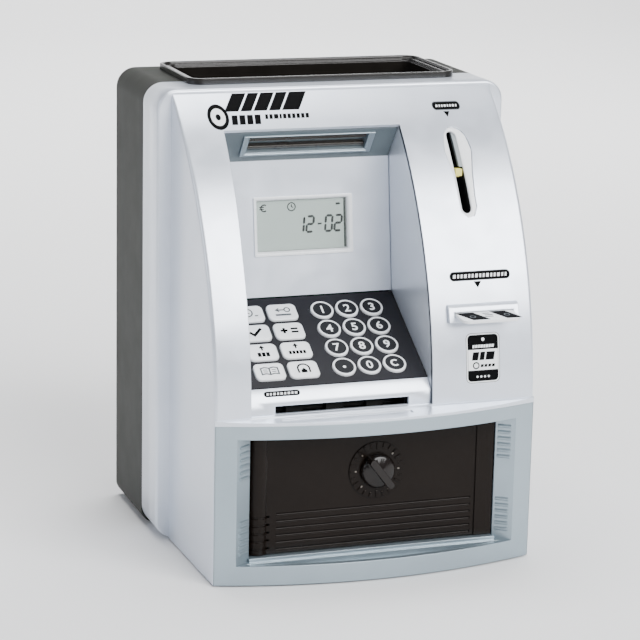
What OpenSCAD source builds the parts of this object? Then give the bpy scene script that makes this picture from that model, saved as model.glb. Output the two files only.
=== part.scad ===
// Toy cash machine savings bank: keypad, screen, note feeder, coin slot and a safe with a dial.
// +X is to the user's right, the front faces -Y, and the feet stand on z = 0.

/* [Case] */
// Width of the flange and of the rear housing
flange_w = 210; // [206:1:216]
// Width of the front body where it meets the safe
front_w = 190; // [188:1:192]
// Depth from the bowed safe frame to the back
depth = 189.5; // [188:0.5:194]
// Height of the case, without the rim of the top tray
case_h = 265.5; // [264:0.5:270]
// Wall thickness of the mouldings
wall = 2.5; // [2.2:0.1:2.8]
// Height of the feet below the case
foot_h = 1; // [0.8:0.1:1.2]
// Radius of the side arc that the front body leans back along
arch_r = 220; // [215:1:225]
// Height at which the straight front turns into the arc
arch_z = 90; // [89:1:91]

/* [Safe] */
// How far the safe frame bows forward at its middle
bow = 14.5; // [13:0.5:16]
// Height of the top of the safe frame
frame_top = 93; // [92:0.5:93.5]
// Half width of the door opening at the door
door_half = 73.5; // [73:0.1:74]
// Radius of the round column that the door turns on
column_r = 6.3; // [6:0.1:6.4]
// Radius of the steel hinge pin
pin_r = 1.5; // [1.2:0.1:1.8]
// Running clearance round a shaft, in its bore
running = 0.05; // [0.03:0.01:0.08]
// Radius of the dial's tick ring
dial_r = 16.5; // [15:0.5:17.5]

/* [Recess] */
// Left side of the recess for the screen and the keys
recess_left = -74; // [-74.5:0.1:-73]
// Right side of the recess
recess_right = 32.9; // [32:0.1:34]

/* [Keys] */
// Radius of a number key
key_r = 6.8; // [6.2:0.1:6.9]
// Width of a function key
fkey_w = 17.6; // [17:0.1:18.6]
// Height of a function key
fkey_h = 12.7; // [12:0.1:13.6]
// Pitch of the number key columns
key_pitch_x = 15.1; // [15:0.1:15.4]
// Pitch of the key rows, up the slope
key_pitch_s = 15.27; // [15.2:0.01:15.4]
// Gap round each key
key_gap = 0.3; // [0.25:0.05:0.35]
// Height of the key tops over the plate
key_proud = 1.2; // [1.1:0.1:2.4]

/* [Coin and card] */
// Middle of the coin slot, across the case
coin_x = 62.4; // [61.5:0.1:63]
// Width of the coin slot
coin_w = 5.8; // [5.2:0.1:6]
// Middle of the card slot, across the case
card_x = 64.2; // [64:0.1:66]
// Width of the card
card_w = 35; // [34:0.5:37]
// Slope of the card, down to the front
card_tilt = 6.5; // [5:0.5:8]

/* [Hidden] */
$fn = 64;
eps = 0.01;
seam_y = 115;                       // joint between the front shell and the rear housing
back_y = depth - bow;               // outside of the back wall, from the frame's corner plane
front_d = 84;                       // depth of the front body to the flange
front_draft = 1.8;                  // the front body widens by this much at the flange
corner_low = 8;
corner_high = 11.5;
half = flange_w / 2;
bow_r = ((front_w / 2) ^ 2 + bow ^ 2) / (2 * bow);
ledge_t = 1.5;                      // white ledge on top of the safe frame
flare_h = 3.3;                      // height that the front flares out in, onto the ledge
lip_lean = 1.8;                     // the recess's left edge leans in by this much at the top

// Corners of the recess, in the side view: [y, z]
lip = [64.4, 245.1];                // front edge of the sloping ceiling
head = [80.3, 224];                 // ceiling meets screen panel
toe = [69.4, 146.4];                // screen panel meets keypad
strip = [8.2, 110.2];               // lower edge of the keypad
feed_top = [3.2, 104.5];            // top of the note feeder's face
feed_face = 3.2;
feed_low = 94.5;
recess_mid = -19.8;               // middle of the note slots
panel_gap = 0.15;

slot_half = 39.3;                   // half width of the note slot
slot_low = 96.4;
slot_high = 100.9;

door_low = 14.8;
door_high = 84;
door_face = 5;
door_back = 8.5;
hinge = [-door_half + 0.3 + column_r, 9.5];
dial = [2, 59];
knob_r = 10;
spindle_r = 2.5;

key_x = 1.1;                        // middle column of the number keys
key_s = 11.9;                       // lowest row, up the slope from the keypad's lower edge
fkey_x = [-58, -38.1];
plate_t = 2.5;
key_depth = 4.6;                    // how far a key's stem reaches under the plate's top
number_names = ["key_dot", "key_0", "key_clear", "key_7", "key_8", "key_9",
                "key_4", "key_5", "key_6", "key_1", "key_2", "key_3"];
function_names = ["key_book", "key_home", "key_day", "key_month",
                  "key_set", "key_sum", "key_clock", "key_card"];

roller_y = 24;
path_z = (slot_low + slot_high) / 2;
feed_r = 5.4;
pinch_r = 4;
feed_z = path_z - feed_r - 0.2;
pinch_z = path_z + pinch_r + 0.2;
lever_pivot = [53, 224];            // the coin lever's pin, [y, z]
motor_y = 56;
motor_z = 104;
pulley_x = -64.5;
pulley_gap = 0.35;                  // belt clear of its pulleys
motor_pulley_r = 3;
roller_pulley_r = 4.5;
belt_t = 0.9;

battery_z = [22, 38, 54];
battery_y = 163.2;
speaker_z = 196;

// ---- helpers -------------------------------------------------------------------------

// Puts y = 0 at the plane of the safe frame's front corners
module placed() {
  translate([0, bow - depth / 2, 0]) children();
}

module along_x(x0, x1) {
  translate([x0, 0, 0]) rotate([90, 0, 90]) linear_extrude(x1 - x0) children();
}

module along_y(y0, y1) {
  translate([0, y1, 0]) rotate([90, 0, 0]) linear_extrude(y1 - y0) children();
}

module along_z(z0, z1) {
  translate([0, 0, z0]) linear_extrude(z1 - z0) children();
}

module block(x0, x1, y0, y1, z0, z1) {
  translate([x0, y0, z0]) cube([x1 - x0, y1 - y0, z1 - z0]);
}

module rod_x(x0, x1, y, z, r) {
  translate([x0, y, z]) rotate([0, 90, 0]) cylinder(r = r, h = x1 - x0);
}

module rod_y(y0, y1, x, z, r) {
  translate([x, y1, z]) rotate([90, 0, 0]) cylinder(r = r, h = y1 - y0);
}

// Rectangle with one radius at its two low corners and another at its two high ones
module rounded_rect(x0, z0, x1, z1, low, high) {
  polygon([[x0 + low, z0], [x1 - low, z0], [x1, z0 + low], [x1, z1 - high],
           [x1 - high, z1], [x0 + high, z1], [x0, z1 - high], [x0, z0 + low]]);
  for (x = [x0 + low, x1 - low]) translate([x, z0 + low]) circle(low);
  for (x = [x0 + high, x1 - high]) translate([x, z1 - high]) circle(high);
}

// Side view of the front body, moved in by a wall
module side_profile(inset, y_end) {
  intersection() {
    translate([inset, foot_h + inset]) square([y_end - inset, case_h - foot_h - 2 * inset]);
    union() {
      translate([inset, 0]) square([y_end, arch_z]);
      translate([arch_r, arch_z]) circle(arch_r - inset, $fn = 256);
    }
  }
}

module case_outline(inset) {
  rounded_rect(-half + inset, foot_h + inset, half - inset, case_h - inset,
               corner_low - inset, corner_high - inset);
}

// Body of the front shell: the leaning front and the wider flange behind it
module front_body(inset, y_end) {
  w = front_w / 2 - inset;
  intersection() {
    along_x(-half, half) side_profile(inset, front_d + wall + 1);
    along_z(0, case_h)
      polygon([[-w, -1], [w, -1], [w, 0], [w + front_draft, front_d], [w + front_draft, front_d + 5],
               [-w - front_draft, front_d + 5], [-w - front_draft, front_d], [-w, 0]]);
  }
  along_y(front_d + inset, y_end) case_outline(inset);
}

// Plan of the bow in front of the case, moved in by an inset, as far back as y_end
module bow_plan(inset, y_end) {
  side = y_end > 0 ? 0 : 1;
  intersection() {
    translate([0, bow_r - bow]) circle(bow_r - inset, $fn = 256);
    translate([-front_w / 2 - side, -bow - 1]) square([front_w + 2 * side, bow + 1 + y_end]);
  }
}

// Slab of thickness t behind the line from a to b in the side view
module slab(a, b, t, x0, x1) {
  d = b - a;
  translate([x0, a[0], a[1]]) rotate([atan2(d[1], d[0]), 0, 0])
    cube([x1 - x0, norm(d), t]);
}

// Frames on the keypad, the screen panel and the sloping ceiling: +Y up the face, +Z out of it
module on_keypad() {
  translate([0, strip[0], strip[1]])
    rotate([atan2(toe[1] - strip[1], toe[0] - strip[0]), 0, 0]) children();
}

module on_screen() {
  translate([0, toe[0], toe[1]])
    rotate([atan2(head[1] - toe[1], head[0] - toe[0]), 0, 0]) children();
}

module on_ceiling() {
  translate([0, head[0], head[1]])
    rotate([atan2(lip[1] - head[1], lip[0] - head[0]), 0, 0]) children();
}

module on_card() {
  translate([card_x, 0, 146]) rotate([card_tilt, 0, 0]) children();
}

// Part of the arc's skin between two radii
module arch_skin(r_in, r_out) {
  along_x(-half, half) difference() {
    translate([arch_r, arch_z]) circle(r_out, $fn = 256);
    translate([arch_r, arch_z]) circle(r_in, $fn = 256);
  }
}

module tray_hole(grow) {
  along_z(case_h - 24 - grow, case_h + 1)
    rounded_rect(-77 - grow, 105 - grow, 77 + grow, 165 + grow, 6 + grow, 6 + grow);
}

module coin_outline(grow) {
  translate([coin_x, 197 + 5.4]) circle(5.4 + grow);
  translate([coin_x, 242.2 - 5.4]) circle(5.4 + grow);
  translate([coin_x - 5.4 - grow, 202.4]) square([10.8 + 2 * grow, 34.4]);
  translate([coin_x + 1.9, 230]) circle(8.2 + grow);
}

module coin_slot_plan() {
  translate([coin_x, 202]) circle(coin_w / 2);
  translate([coin_x, 238.2]) circle(coin_w / 2);
  translate([coin_x - coin_w / 2, 202]) square([coin_w, 36.2]);
}

module screw_spots() {
  for (x = [-96, 96]) for (z = [22, 133, 244]) translate([x, 0, z]) children();
}

module feet_spots() {
  for (x = [-78, 78]) for (y = [16, 158]) translate([x, y, 0]) children();
}

// Number key k sits in column k % 3 and row floor(k / 3), counted from the lowest row
module number_spot(k) {
  translate([key_x + (k % 3 - 1) * key_pitch_x, key_s + floor(k / 3) * key_pitch_s, 0]) children();
}

module function_spot(k) {
  translate([fkey_x[k % 2], key_s + floor(k / 2) * key_pitch_s, 0]) children();
}

module fkey_plan(grow) {
  rounded_rect(-fkey_w / 2 - grow, -fkey_h / 2 - grow, fkey_w / 2 + grow, fkey_h / 2 + grow,
               3.2 + grow, 3.2 + grow);
}

// ---- case ----------------------------------------------------------------------------

module front_shell() color("#E6EAF0") placed() {
  difference() {
    union() {
      difference() {
        front_body(0, seam_y);
        front_body(wall, seam_y + 1);
      }
      // cheeks on both sides of the recess
      for (x = [recess_left - wall, recess_right])
        along_x(x, x + wall) intersection() {
          side_profile(0, 88);
          translate([-1, feed_low - 2]) square([100, 250 - feed_low + 2]);
        }
      along_z(frame_top, frame_top + ledge_t) bow_plan(0, 1);
      screw_spots() rod_y(front_d + 1, seam_y - 0.2, 0, 0, 4.5);
    }
    // recess
    intersection() {
      along_x(recess_left, recess_right)
        polygon([[-1, feed_low], [-1, lip[1]], lip, lip + [wall + 1, 0], [lip[0] + wall + 1, feed_low]]);
      along_y(-2, 90) polygon([[recess_left, 90], [recess_left, 185], [recess_left + lip_lean, lip[1]],
                               [recess_right, lip[1]], [recess_right, 90]]);
    }
    // opening for the safe
    block(-84, 84, -1, wall + 1, 8.5, 88.5);
    along_y(0, 90) coin_outline(0.1);
    along_y(0, 30) rounded_rect(card_x - 21.6, 141.4, card_x + 21.6, 151.1, 0.2, 0.2);
    tray_hole(0.2);
    screw_spots() rod_y(front_d + 8, seam_y, 0, 0, 1.3);
    feet_spots() translate([0, 0, -1]) cylinder(r = 8.1, h = 3);
  }
  // the front runs out in a shallow hollow curve onto the ledge, with a groove under the note slot
  difference() {
    intersection() {
      along_x(-front_w / 2, front_w / 2)
        polygon([[3, frame_top + eps], [3, frame_top + flare_h], [0, frame_top + flare_h], [-1.4, frame_top + 2.6],
                 [-4.2, frame_top + 2.1], [-8.5, frame_top + 1.75], [-bow - 1, frame_top + ledge_t],
                 [-bow - 1, frame_top + eps]]);
      along_z(frame_top, frame_top + 5) bow_plan(0, 3);
    }
    block(recess_mid - 38.5, recess_mid + 38.5, -7.4, -3.2, frame_top + 1.4, frame_top + 5);
  }
}

module rear_housing() color("#6E706C") placed() {
  difference() {
    union() {
      difference() {
        along_y(seam_y, back_y) case_outline(0);
        along_y(seam_y - 1, back_y - wall) case_outline(wall);
      }
      screw_spots() rod_y(seam_y + 0.3, back_y - 1, 0, 0, 5.2);
      // posts for the main board
      for (x = [-50, 50]) for (z = [92, 152]) rod_y(152, back_y - 1, x, z, 3);
    }
    screw_spots() rod_y(seam_y, back_y + 1, 0, 0, 1.7);
    screw_spots() rod_y(seam_y + 5, back_y + 1, 0, 0, 3.6);
    tray_hole(0.2);
    // speaker grille
    for (ring = [0 : 3]) for (k = [0 : max(ring * 6 - 1, 0)])
      translate([0, 0, speaker_z]) rotate([0, k * 60 / max(ring, 1), 0])
        rod_y(back_y - wall - 1, back_y + 1, ring * 5.4, 0, 1.5);
    // battery opening and the seat of its cover
    block(-33, 33, back_y - wall - 1, back_y + 1, 12, 64);
    block(-37.3, 37.3, back_y - 1.5, back_y + 1, 8.7, 68.3);
    feet_spots() translate([0, 0, -1]) cylinder(r = 8.1, h = 3);
  }
}

module top_tray() color("#2A2825") placed() {
  difference() {
    union() {
      tray_hole(0);
      along_z(case_h, case_h + 3.6) rounded_rect(-82, 99, 82, 170, 9, 9);
    }
    along_z(case_h - 22, case_h + 5) rounded_rect(-75, 107, 75, 163, 4.5, 4.5);
    // the rim is dished between its outer edge and the well
    along_z(case_h + 2.4, case_h + 5) rounded_rect(-80, 101, 80, 168, 7.5, 7.5);
    along_z(case_h + 1, case_h + 5) rounded_rect(-76.5, 105.5, 76.5, 164.5, 5.5, 5.5);
  }
}

module rubber_feet() color("#303030") placed() {
  feet_spots() cylinder(r = 8, h = 2);
}

module case_screws() color("#A8ABAE") placed() {
  screw_spots() {
    rod_y(front_d + 9, seam_y + 5, 0, 0, 1.3);
    difference() {
      rod_y(seam_y + 5, seam_y + 7.4, 0, 0, 3);
      for (a = [0, 90]) rotate([0, a, 0]) block(-2, 2, seam_y + 6.4, seam_y + 8, -0.4, 0.4);
    }
  }
}

// ---- safe ----------------------------------------------------------------------------

// Horizontal ribs on the slanted reveal beside the door; side is -1 on the left, 1 on the right
module reveal_ribs(side) {
  mid = (83 + door_half) / 2 - 0.5;
  angle = atan2(6.6, 83 - door_half);
  for (low = [18.5, 62]) for (k = [0 : 5])
    translate([side * mid, 0.1, low + k * 3.6]) rotate([0, 0, -side * angle])
      rotate([0, 90, 0]) cylinder(r = 0.9, h = 7.6, center = true);
}

module safe_frame() color("#A4B0B6") placed() {
  difference() {
    union() {
      along_z(foot_h, frame_top) bow_plan(0, 0);
      block(-83.7, 83.7, -1, door_face, 9, 88);
    }
    // opening, narrowing from the front edge to the door
    along_z(12.1, 85.3)
      polygon([[-83, -20], [83, -20], [83, -3.4], [door_half, 3.2], [door_half, 7],
               [-door_half, 7], [-door_half, 3.2], [-83, -3.4]]);
    // crescent groove behind the lower lip
    along_z(8, 13) intersection() {
      bow_plan(3.5, 0);
      translate([-80, -30]) square([160, 28.6]);
    }
  }
  // sill and head strip behind the opening
  block(-door_half - 0.5, door_half + 0.5, 0.4, door_face, 11.5, 14.3);
  block(-door_half - 0.5, door_half + 0.5, 1, door_face, 84.4, 85.8);
  // lugs that hold the hinge pin
  for (z = [10.3, 84.4]) difference() {
    block(-door_half, hinge[0] + column_r, door_face - 0.5, 15.5, z, z + 3.6);
    translate([hinge[0], hinge[1], z - 1]) cylinder(r = pin_r, h = 6);
  }
  for (side = [-1, 1]) reveal_ribs(side);
}

module hinge_pin() color("#B8BABC") placed() {
  translate([hinge[0], hinge[1], 10.3]) cylinder(r = pin_r, h = 77.7);
}

module safe_door() color("#2C241F") placed() {
  difference() {
    union() {
      translate([hinge[0], hinge[1], door_low]) cylinder(r = column_r, h = door_high - door_low);
      block(hinge[0], 64, door_face, door_back, door_low, door_high);
      block(62.5, door_half - 0.5, door_face - 0.9, door_back, door_low, door_high);
      // stiffening lip behind the free edge
      block(68.5, door_half - 0.5, door_back - eps, door_back + 3, door_low + 1, door_high - 1);
    }
    // six grooves across the lower part
    for (k = [0 : 5]) rod_x(-57, 60, door_face, 17 + k * 4.1, 0.75);
    // nicks that carry the grooves round the column
    for (k = [0 : 4]) translate([hinge[0], hinge[1], 17.5 + k * 4.6]) difference() {
      cylinder(r = column_r + 1, h = 1.2);
      translate([0, 0, -1]) cylinder(r = column_r - 0.6, h = 4);
    }
    translate([hinge[0], hinge[1], 0]) cylinder(r = pin_r + running, h = 100);
    rod_y(0, 20, dial[0], dial[1], spindle_r + running);
  }
}

module dial_plate() color("#332B26") placed() {
  difference() {
    union() {
      rod_y(door_face - 0.8, door_face, dial[0], dial[1], dial_r);
      // raised ticks, the long ones every fifth
      for (k = [0 : 23]) translate([dial[0], 0, dial[1]]) rotate([0, k * 15, 0])
        block(-0.5, 0.5, door_face - 1.5, door_face - 0.7, dial_r - (k % 4 == 0 ? 4.2 : 3), dial_r - 0.5);
    }
    rod_y(0, 20, dial[0], dial[1], spindle_r + 0.3);
  }
}

module dial_knob() color("#231C18") placed() {
  translate([dial[0], door_face - 1.1, dial[1]]) rotate([90, 0, 0]) {
    // domed disc
    rotate_extrude() {
      polygon([[0, 0], [knob_r, 0], [knob_r, 2], [knob_r - 1.4, 4], [0, 6]]);
    }
    // grip bar with its pointer end
    rotate([0, 0, -52]) {
      translate([-8.6, -2, 3]) cube([17.2, 4, 6.5]);
      for (x = [-8.6, 8.6]) translate([x, 0, 0]) cylinder(r = 2, h = 9.5);
    }
  }
  rod_y(door_face - 2, door_back + 3, dial[0], dial[1], spindle_r);
}

module latch_tongue() color("#B4B8BC") placed() {
  difference() {
    union() {
      rod_y(door_back + 3, door_back + 5, dial[0], dial[1], 5);
      block(dial[0] - 26, dial[0], door_back + 3, door_back + 5, dial[1] - 3.5, dial[1] + 3.5);
    }
    rod_y(door_back + 4.2, door_back + 6, dial[0], dial[1], 2);
  }
}

module money_box() color("#8A9094") placed() {
  difference() {
    block(-77, 77, 17, 112, 9.2, 88);
    block(-75, 75, 16, 110, 11.2, 86);
    // notes and coins drop in from above
    block(-69, 24, 16, 44, 85, 89);
    block(coin_x - 6, coin_x + 6, 44, 82, 85, 89);
  }
}

// ---- recess --------------------------------------------------------------------------

// Unit normal to the left of the way from a to b, which is behind the recess's panels
function behind(a, b) = let (d = (b - a) / norm(b - a)) [-d[1], d[0]];

module screen_panel() color("#DCE2EA") placed() {
  x0 = recess_left + panel_gap;
  x1 = recess_right - panel_gap;
  n1 = behind(lip, head);
  n2 = behind(head, toe);
  start = lip + 2.9 * (head - lip) / norm(head - lip);
  difference() {
    along_x(x0, x1)
      polygon([start, head, toe, toe + wall * n2, head + wall * (n1 + n2) / (1 + n1 * n2), start + wall * n1]);
    on_screen() block(-49.5, 7.9, 24.7, 56.7, -5, 5);
    on_ceiling() block(recess_mid - 37.2, recess_mid + 37.2, 6.2, 21, -5, 5);
  }
}

module note_feeder_face() color("#E2E7EC") placed() {
  x0 = recess_left + panel_gap;
  x1 = recess_right - panel_gap;
  difference() {
    along_x(x0, x1)
      polygon([[feed_face, feed_low + 0.1], feed_top, strip, strip + [1.5, -2.4],
               feed_top + [2.4, -1], [feed_face + wall, feed_low + 0.1]]);
    block(recess_mid - slot_half, recess_mid + slot_half, 0, 12, slot_low, slot_high);
  }
}

module dispenser_bezel() color("#8C9698") placed() on_ceiling() {
  difference() {
    union() {
      block(recess_mid - 39.3, recess_mid + 39.3, 5.2, 21.2, 0, 1.2);
      block(recess_mid - 37, recess_mid + 37, 6.4, 20.8, -6, 0.2);
    }
    block(recess_mid - 35.8, recess_mid + 35.8, 7.4, 20, -4.8, 3);
    // sloping inner edge of the bezel
    block(recess_mid - 36.8, recess_mid + 36.8, 6.5, 20.5, 0.7, 3);
  }
}

module dispenser_flaps() color("#3A3632") placed() on_ceiling() {
  for (s = [7.7, 14.3]) block(recess_mid - 35.6, recess_mid + 35.6, s, s + 2.5, -4.8, -1.8);
}

module lcd_bezel() color("#E8ECF2") placed() on_screen() {
  difference() {
    union() {
      block(-50.3, 9.6, 23.4, 57.6, 0, 1.4);
      block(-49.3, 7.7, 24.9, 56.5, -3.2, eps);
    }
    block(-48.1, 6.4, 26.1, 55.3, -4, 3);
    block(-49.3, 7.7, 24.9, 56.5, 0.6, 3);
  }
}

module lcd_lens() color("#C8D0CC", 0.5) placed() on_screen() {
  block(-47.9, 6.2, 26.3, 55.1, -1.4, -0.6);
}

module lcd_module() color("#B0BCB6") placed() on_screen() {
  block(-47.9, 6.2, 26.3, 55.1, -3.2, -1.8);
  block(-49, 8.2, 22, 59, -5.2, -3.4);
}

// ---- keypad --------------------------------------------------------------------------

module keypad_plate() color("#3C3D42") placed() on_keypad() {
  difference() {
    block(recess_left + panel_gap, recess_right - panel_gap, 0.4, 70.2, -plate_t, 0);
    for (k = [0 : 11]) number_spot(k) translate([0, 0, -9]) cylinder(r = key_r + key_gap, h = 12);
    for (k = [0 : 7]) function_spot(k) along_z(-9, 3) fkey_plan(key_gap);
  }
}

module number_key(k) color("#F2F3F4") placed() on_keypad() number_spot(k) {
  translate([0, 0, -3.4]) rotate_extrude() {
    h = key_proud + 3.4;
    polygon([[0, 0], [key_r, 0], [key_r, h - 0.9], [key_r - 0.3, h - 0.3], [key_r - 0.9, h],
             [key_r - 1.9, h], [key_r - 2.3, h - 0.4], [0, h - 0.4]]);
  }
  translate([0, 0, -key_depth]) cylinder(r = 3, h = 2);
}

module function_key(k) color("#F0F1F2") placed() on_keypad() function_spot(k) {
  along_z(-3.4, key_proud - 0.5) fkey_plan(0);
  along_z(key_proud - 0.5 - eps, key_proud) fkey_plan(-0.5);
  translate([0, 0, -key_depth]) cylinder(r = 3, h = 2);
}

module key_mat() color("#55585C") placed() on_keypad() {
  block(recess_left + 2, recess_right - 2, 3, 67, -7.6, -6.4);
}

module keypad_board() color("#2F5B3C") placed() on_keypad() {
  block(recess_left + 2, recess_right - 2, 3, 67, -9.2, -7.6);
}

// ---- coin and card -------------------------------------------------------------------

module coin_bezel() color("#F4F6F8") placed() {
  difference() {
    intersection() {
      arch_skin(arch_r - wall, arch_r - 0.5);
      along_y(0, 90) coin_outline(0);
    }
    along_y(-1, 91) coin_slot_plan();
  }
}

module coin_chute() color("#D0D4D8") placed() {
  difference() {
    intersection() {
      along_x(coin_x - 4.9, coin_x + 4.9)
        polygon([[20, 196], [20, 243], [90, 243], [90, 206], [80, 180], [80, 90.5], [48, 90.5], [48, 180]]);
      along_x(-half, half) translate([arch_r, arch_z]) circle(arch_r - wall - 0.3, $fn = 256);
    }
    along_x(coin_x - 3.4, coin_x + 3.4)
      polygon([[10, 197.6], [10, 241.4], [88.4, 241.4], [88.4, 206.4], [78.4, 180.4], [78.4, 80], [49.6, 80],
               [49.6, 181]]);
    // window that the lever's stop reaches through and swings in
    block(coin_x - 6, coin_x, 20, 56, 204, 223);
  }
  // pin that the lever turns on
  rod_x(coin_x - 8.8, coin_x - 4.9 + eps, lever_pivot[0], lever_pivot[1], 1.2);
}

// Small stop that a coin pushes in and down, on a pivot beside the chute
module coin_lever() color("#E6DC6E") placed() {
  y = lever_pivot[0];
  z = lever_pivot[1];
  difference() {
    union() {
      rod_x(coin_x - 8.2, coin_x - 5.3, y, z, 2.8);
      slab([y - 3.6, z - 6], [y, z], 3.4, coin_x - 8.2, coin_x - 5.3);
    }
    rod_x(coin_x - 9, coin_x - 4, y, z, 1.2 + running);
  }
  block(coin_x - 8.2, coin_x + 1.6, y - 5.2, y - 2.4, z - 8, z - 4.4);
  block(coin_x - 2.4, coin_x + 1.6, y - 9.4, y - 5.2 + eps, z - 6.6, z - 2.6);
}

module card_bezel() color("#EEF1F4") placed() {
  difference() {
    along_x(card_x - 21.4, card_x + 21.4)
      polygon([[3, 141.8], [5.6, 149.6], [7, 150.9], [14, 150.9], [14, 141.6], [5, 141.6]]);
    on_card() block(-card_w / 2 - 0.4, card_w / 2 + 0.4, -30, 60, -1.7, 0.7);
  }
}

module security_card() color("#F4F4F2") placed() on_card() {
  along_z(-1.4, 0.4) rounded_rect(-card_w / 2, -8.5, card_w / 2, 42, 4.5, 3);
}

module card_switch() color("#404246") placed() on_card() {
  block(-10, 10, 42.6, 46.8, -6, 4);
}

// ---- note feeder ---------------------------------------------------------------------

module feeder_frame() color("#54585C") placed() {
  difference() {
    union() {
      for (x = [-61.5, 19.5]) along_x(x, x + 2.2)
        polygon([[9, 89], [9, 100], [13, 100], [20, 104.6], [28, 107], [40, 107], [40, 89]]);
      block(-61.5, 21.7, 9, 13, 89, 91.5);
      // rear tie bar and the motor's saddle
      block(-61.5, 21.7, 37, 40, 89, 92);
      block(-58, -29, 40 - eps, 68, 89, 91.5);
      block(-55, -32, 47, 65, 91, 98.5);
    }
    rod_x(-70, 30, roller_y, feed_z, 1.5 + running);
    rod_x(-70, 30, roller_y, pinch_z, 1.2 + running);
    rod_x(-60, -27, motor_y, motor_z, 8.05);
  }
}

module feed_motor() color("#B4B6BA") placed() {
  rod_x(-56, -31, motor_y, motor_z, 8);
  rod_x(-59, -56 + eps, motor_y, motor_z, 3);
}

module motor_pulley() color("#D8D8D4") placed() {
  rod_x(-66.5, -59.4, motor_y, motor_z, 1);
  difference() {
    rod_x(-66.5, -62.5, motor_y, motor_z, motor_pulley_r + 1.6);
    pulley_groove(motor_y, motor_z, motor_pulley_r);
  }
}

// Groove cut round a pulley, down to the radius that the belt runs on
module pulley_groove(y, z, r) {
  difference() {
    rod_x(pulley_x - 1.3, pulley_x + 1.3, y, z, r + 3);
    rod_x(pulley_x - 2, pulley_x + 2, y, z, r);
  }
}

// Points round two pulleys: arcs of radius a and b, their centres a distance d apart
function belt_points(a, b, d) = let (lean = asin((a - b) / d), n = 24) concat(
  [for (k = [0 : n]) let (t = 90 - lean + k * (180 + 2 * lean) / n) a * [cos(t), sin(t)]],
  [for (k = [0 : n]) let (t = -90 + lean + k * (180 - 2 * lean) / n) [d, 0] + b * [cos(t), sin(t)]]);

module drive_belt() color("#262626") placed() {
  line = [motor_y - roller_y, motor_z - feed_z];
  a = roller_pulley_r + pulley_gap;
  b = motor_pulley_r + pulley_gap;
  translate([0, roller_y, feed_z]) rotate([atan2(line[1], line[0]), 0, 0])
    along_x(pulley_x - 0.9, pulley_x + 0.9) difference() {
      polygon(belt_points(a + belt_t, b + belt_t, norm(line)));
      polygon(belt_points(a, b, norm(line)));
    }
}

module feed_roller() color("#3A3A3A") placed() {
  rod_x(-66.5, 23, roller_y, feed_z, 1.5);
  for (x = [-48, -24, 0]) rod_x(x, x + 10, roller_y, feed_z, feed_r);
  difference() {
    rod_x(-66.5, -62.5, roller_y, feed_z, roller_pulley_r + 1.6);
    pulley_groove(roller_y, feed_z, roller_pulley_r);
  }
}

module pinch_roller() color("#C8CACC") placed() {
  rod_x(-62.5, 23, roller_y, pinch_z, 1.2);
  for (x = [-47, -23, 1]) rod_x(x, x + 8, roller_y, pinch_z, pinch_r);
}

// ---- rear electrics ------------------------------------------------------------------

module main_board() color("#2E6040") placed() {
  block(-56, 56, 150.3, 151.9, 86, 158);
  block(-12, 12, 147.3, 150.4, 112, 136);
  block(20, 34, 146, 150.4, 118, 130);
  block(-40, -26, 144, 150.4, 96, 104);
  for (x = [-44, -34, 40]) rod_y(139, 150.4, x, 144, 3.5);
}

module speaker() color("#2C2C2E") placed() {
  difference() {
    union() {
      rod_y(167, back_y - wall, 0, speaker_z, 25);
      rod_y(158, 167.1, 0, speaker_z, 12);
    }
    translate([0, back_y - wall + eps, speaker_z]) rotate([90, 0, 0])
      cylinder(r1 = 21, r2 = 8, h = 4.5);
  }
}

module battery_box() color("#3C3E40") placed() {
  difference() {
    block(-34.5, 34.5, 152.5, back_y - wall - 0.1, 10.5, 65.5);
    block(-32.5, 32.5, 154.5, back_y, 12.5, 63.5);
  }
}

module batteries() color("#4A5A6A") placed() {
  for (k = [0 : 2]) {
    s = k == 1 ? -1 : 1;
    rod_x(-25, 24.3, battery_y, battery_z[k], 7.1);
    rod_x(s > 0 ? 24.2 : -26, s > 0 ? 25.3 : -24.9, battery_y, battery_z[k], 2.7);
  }
}

module battery_springs() color("#C4B48A") placed() {
  for (k = [0 : 2]) {
    s = k == 1 ? 1 : -1;
    // contact plate and four coils of its spring
    rod_x(s > 0 ? 31.9 : -32.5, s > 0 ? 32.5 : -31.9, battery_y, battery_z[k], 5.5);
    for (i = [0 : 3]) translate([s * (31.6 - i * 1.35), battery_y, battery_z[k]]) rotate([0, 90, 0])
      rotate_extrude() translate([4.8 - i * 0.5, 0]) circle(0.75, $fn = 16);
  }
}

module battery_cover() color("#666864") placed() {
  difference() {
    union() {
      block(-37, 37, back_y - 1.4, back_y, 9, 68);
      block(-31, 31, back_y - 3.2, back_y - 1.4 + eps, 13.5, 62.5);
    }
    block(-29.5, 29.5, back_y - 4, back_y - 2.2, 15, 61);
    // finger ridges
    for (k = [0 : 4]) rod_x(-9, 9, back_y, 56 + k * 2.2, 0.6);
  }
}

// ---- what is drawn -------------------------------------------------------------------

front_shell();
rear_housing();
top_tray();
rubber_feet();
case_screws();
safe_frame();
hinge_pin();
safe_door();
dial_plate();
dial_knob();
latch_tongue();
money_box();
screen_panel();
note_feeder_face();
dispenser_bezel();
dispenser_flaps();
lcd_bezel();
lcd_lens();
lcd_module();
keypad_plate();
key_mat();
keypad_board();
coin_bezel();
coin_lever();
coin_chute();
card_bezel();
security_card();
card_switch();
feeder_frame();
feed_motor();
motor_pulley();
drive_belt();
feed_roller();
pinch_roller();
main_board();
speaker();
battery_box();
batteries();
battery_springs();
battery_cover();
for (k = [0 : 11]) number_key(k);
for (k = [0 : 7]) function_key(k);
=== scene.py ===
import math

import bpy
import bmesh
import numpy as np
from mathutils import Matrix, Vector


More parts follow.
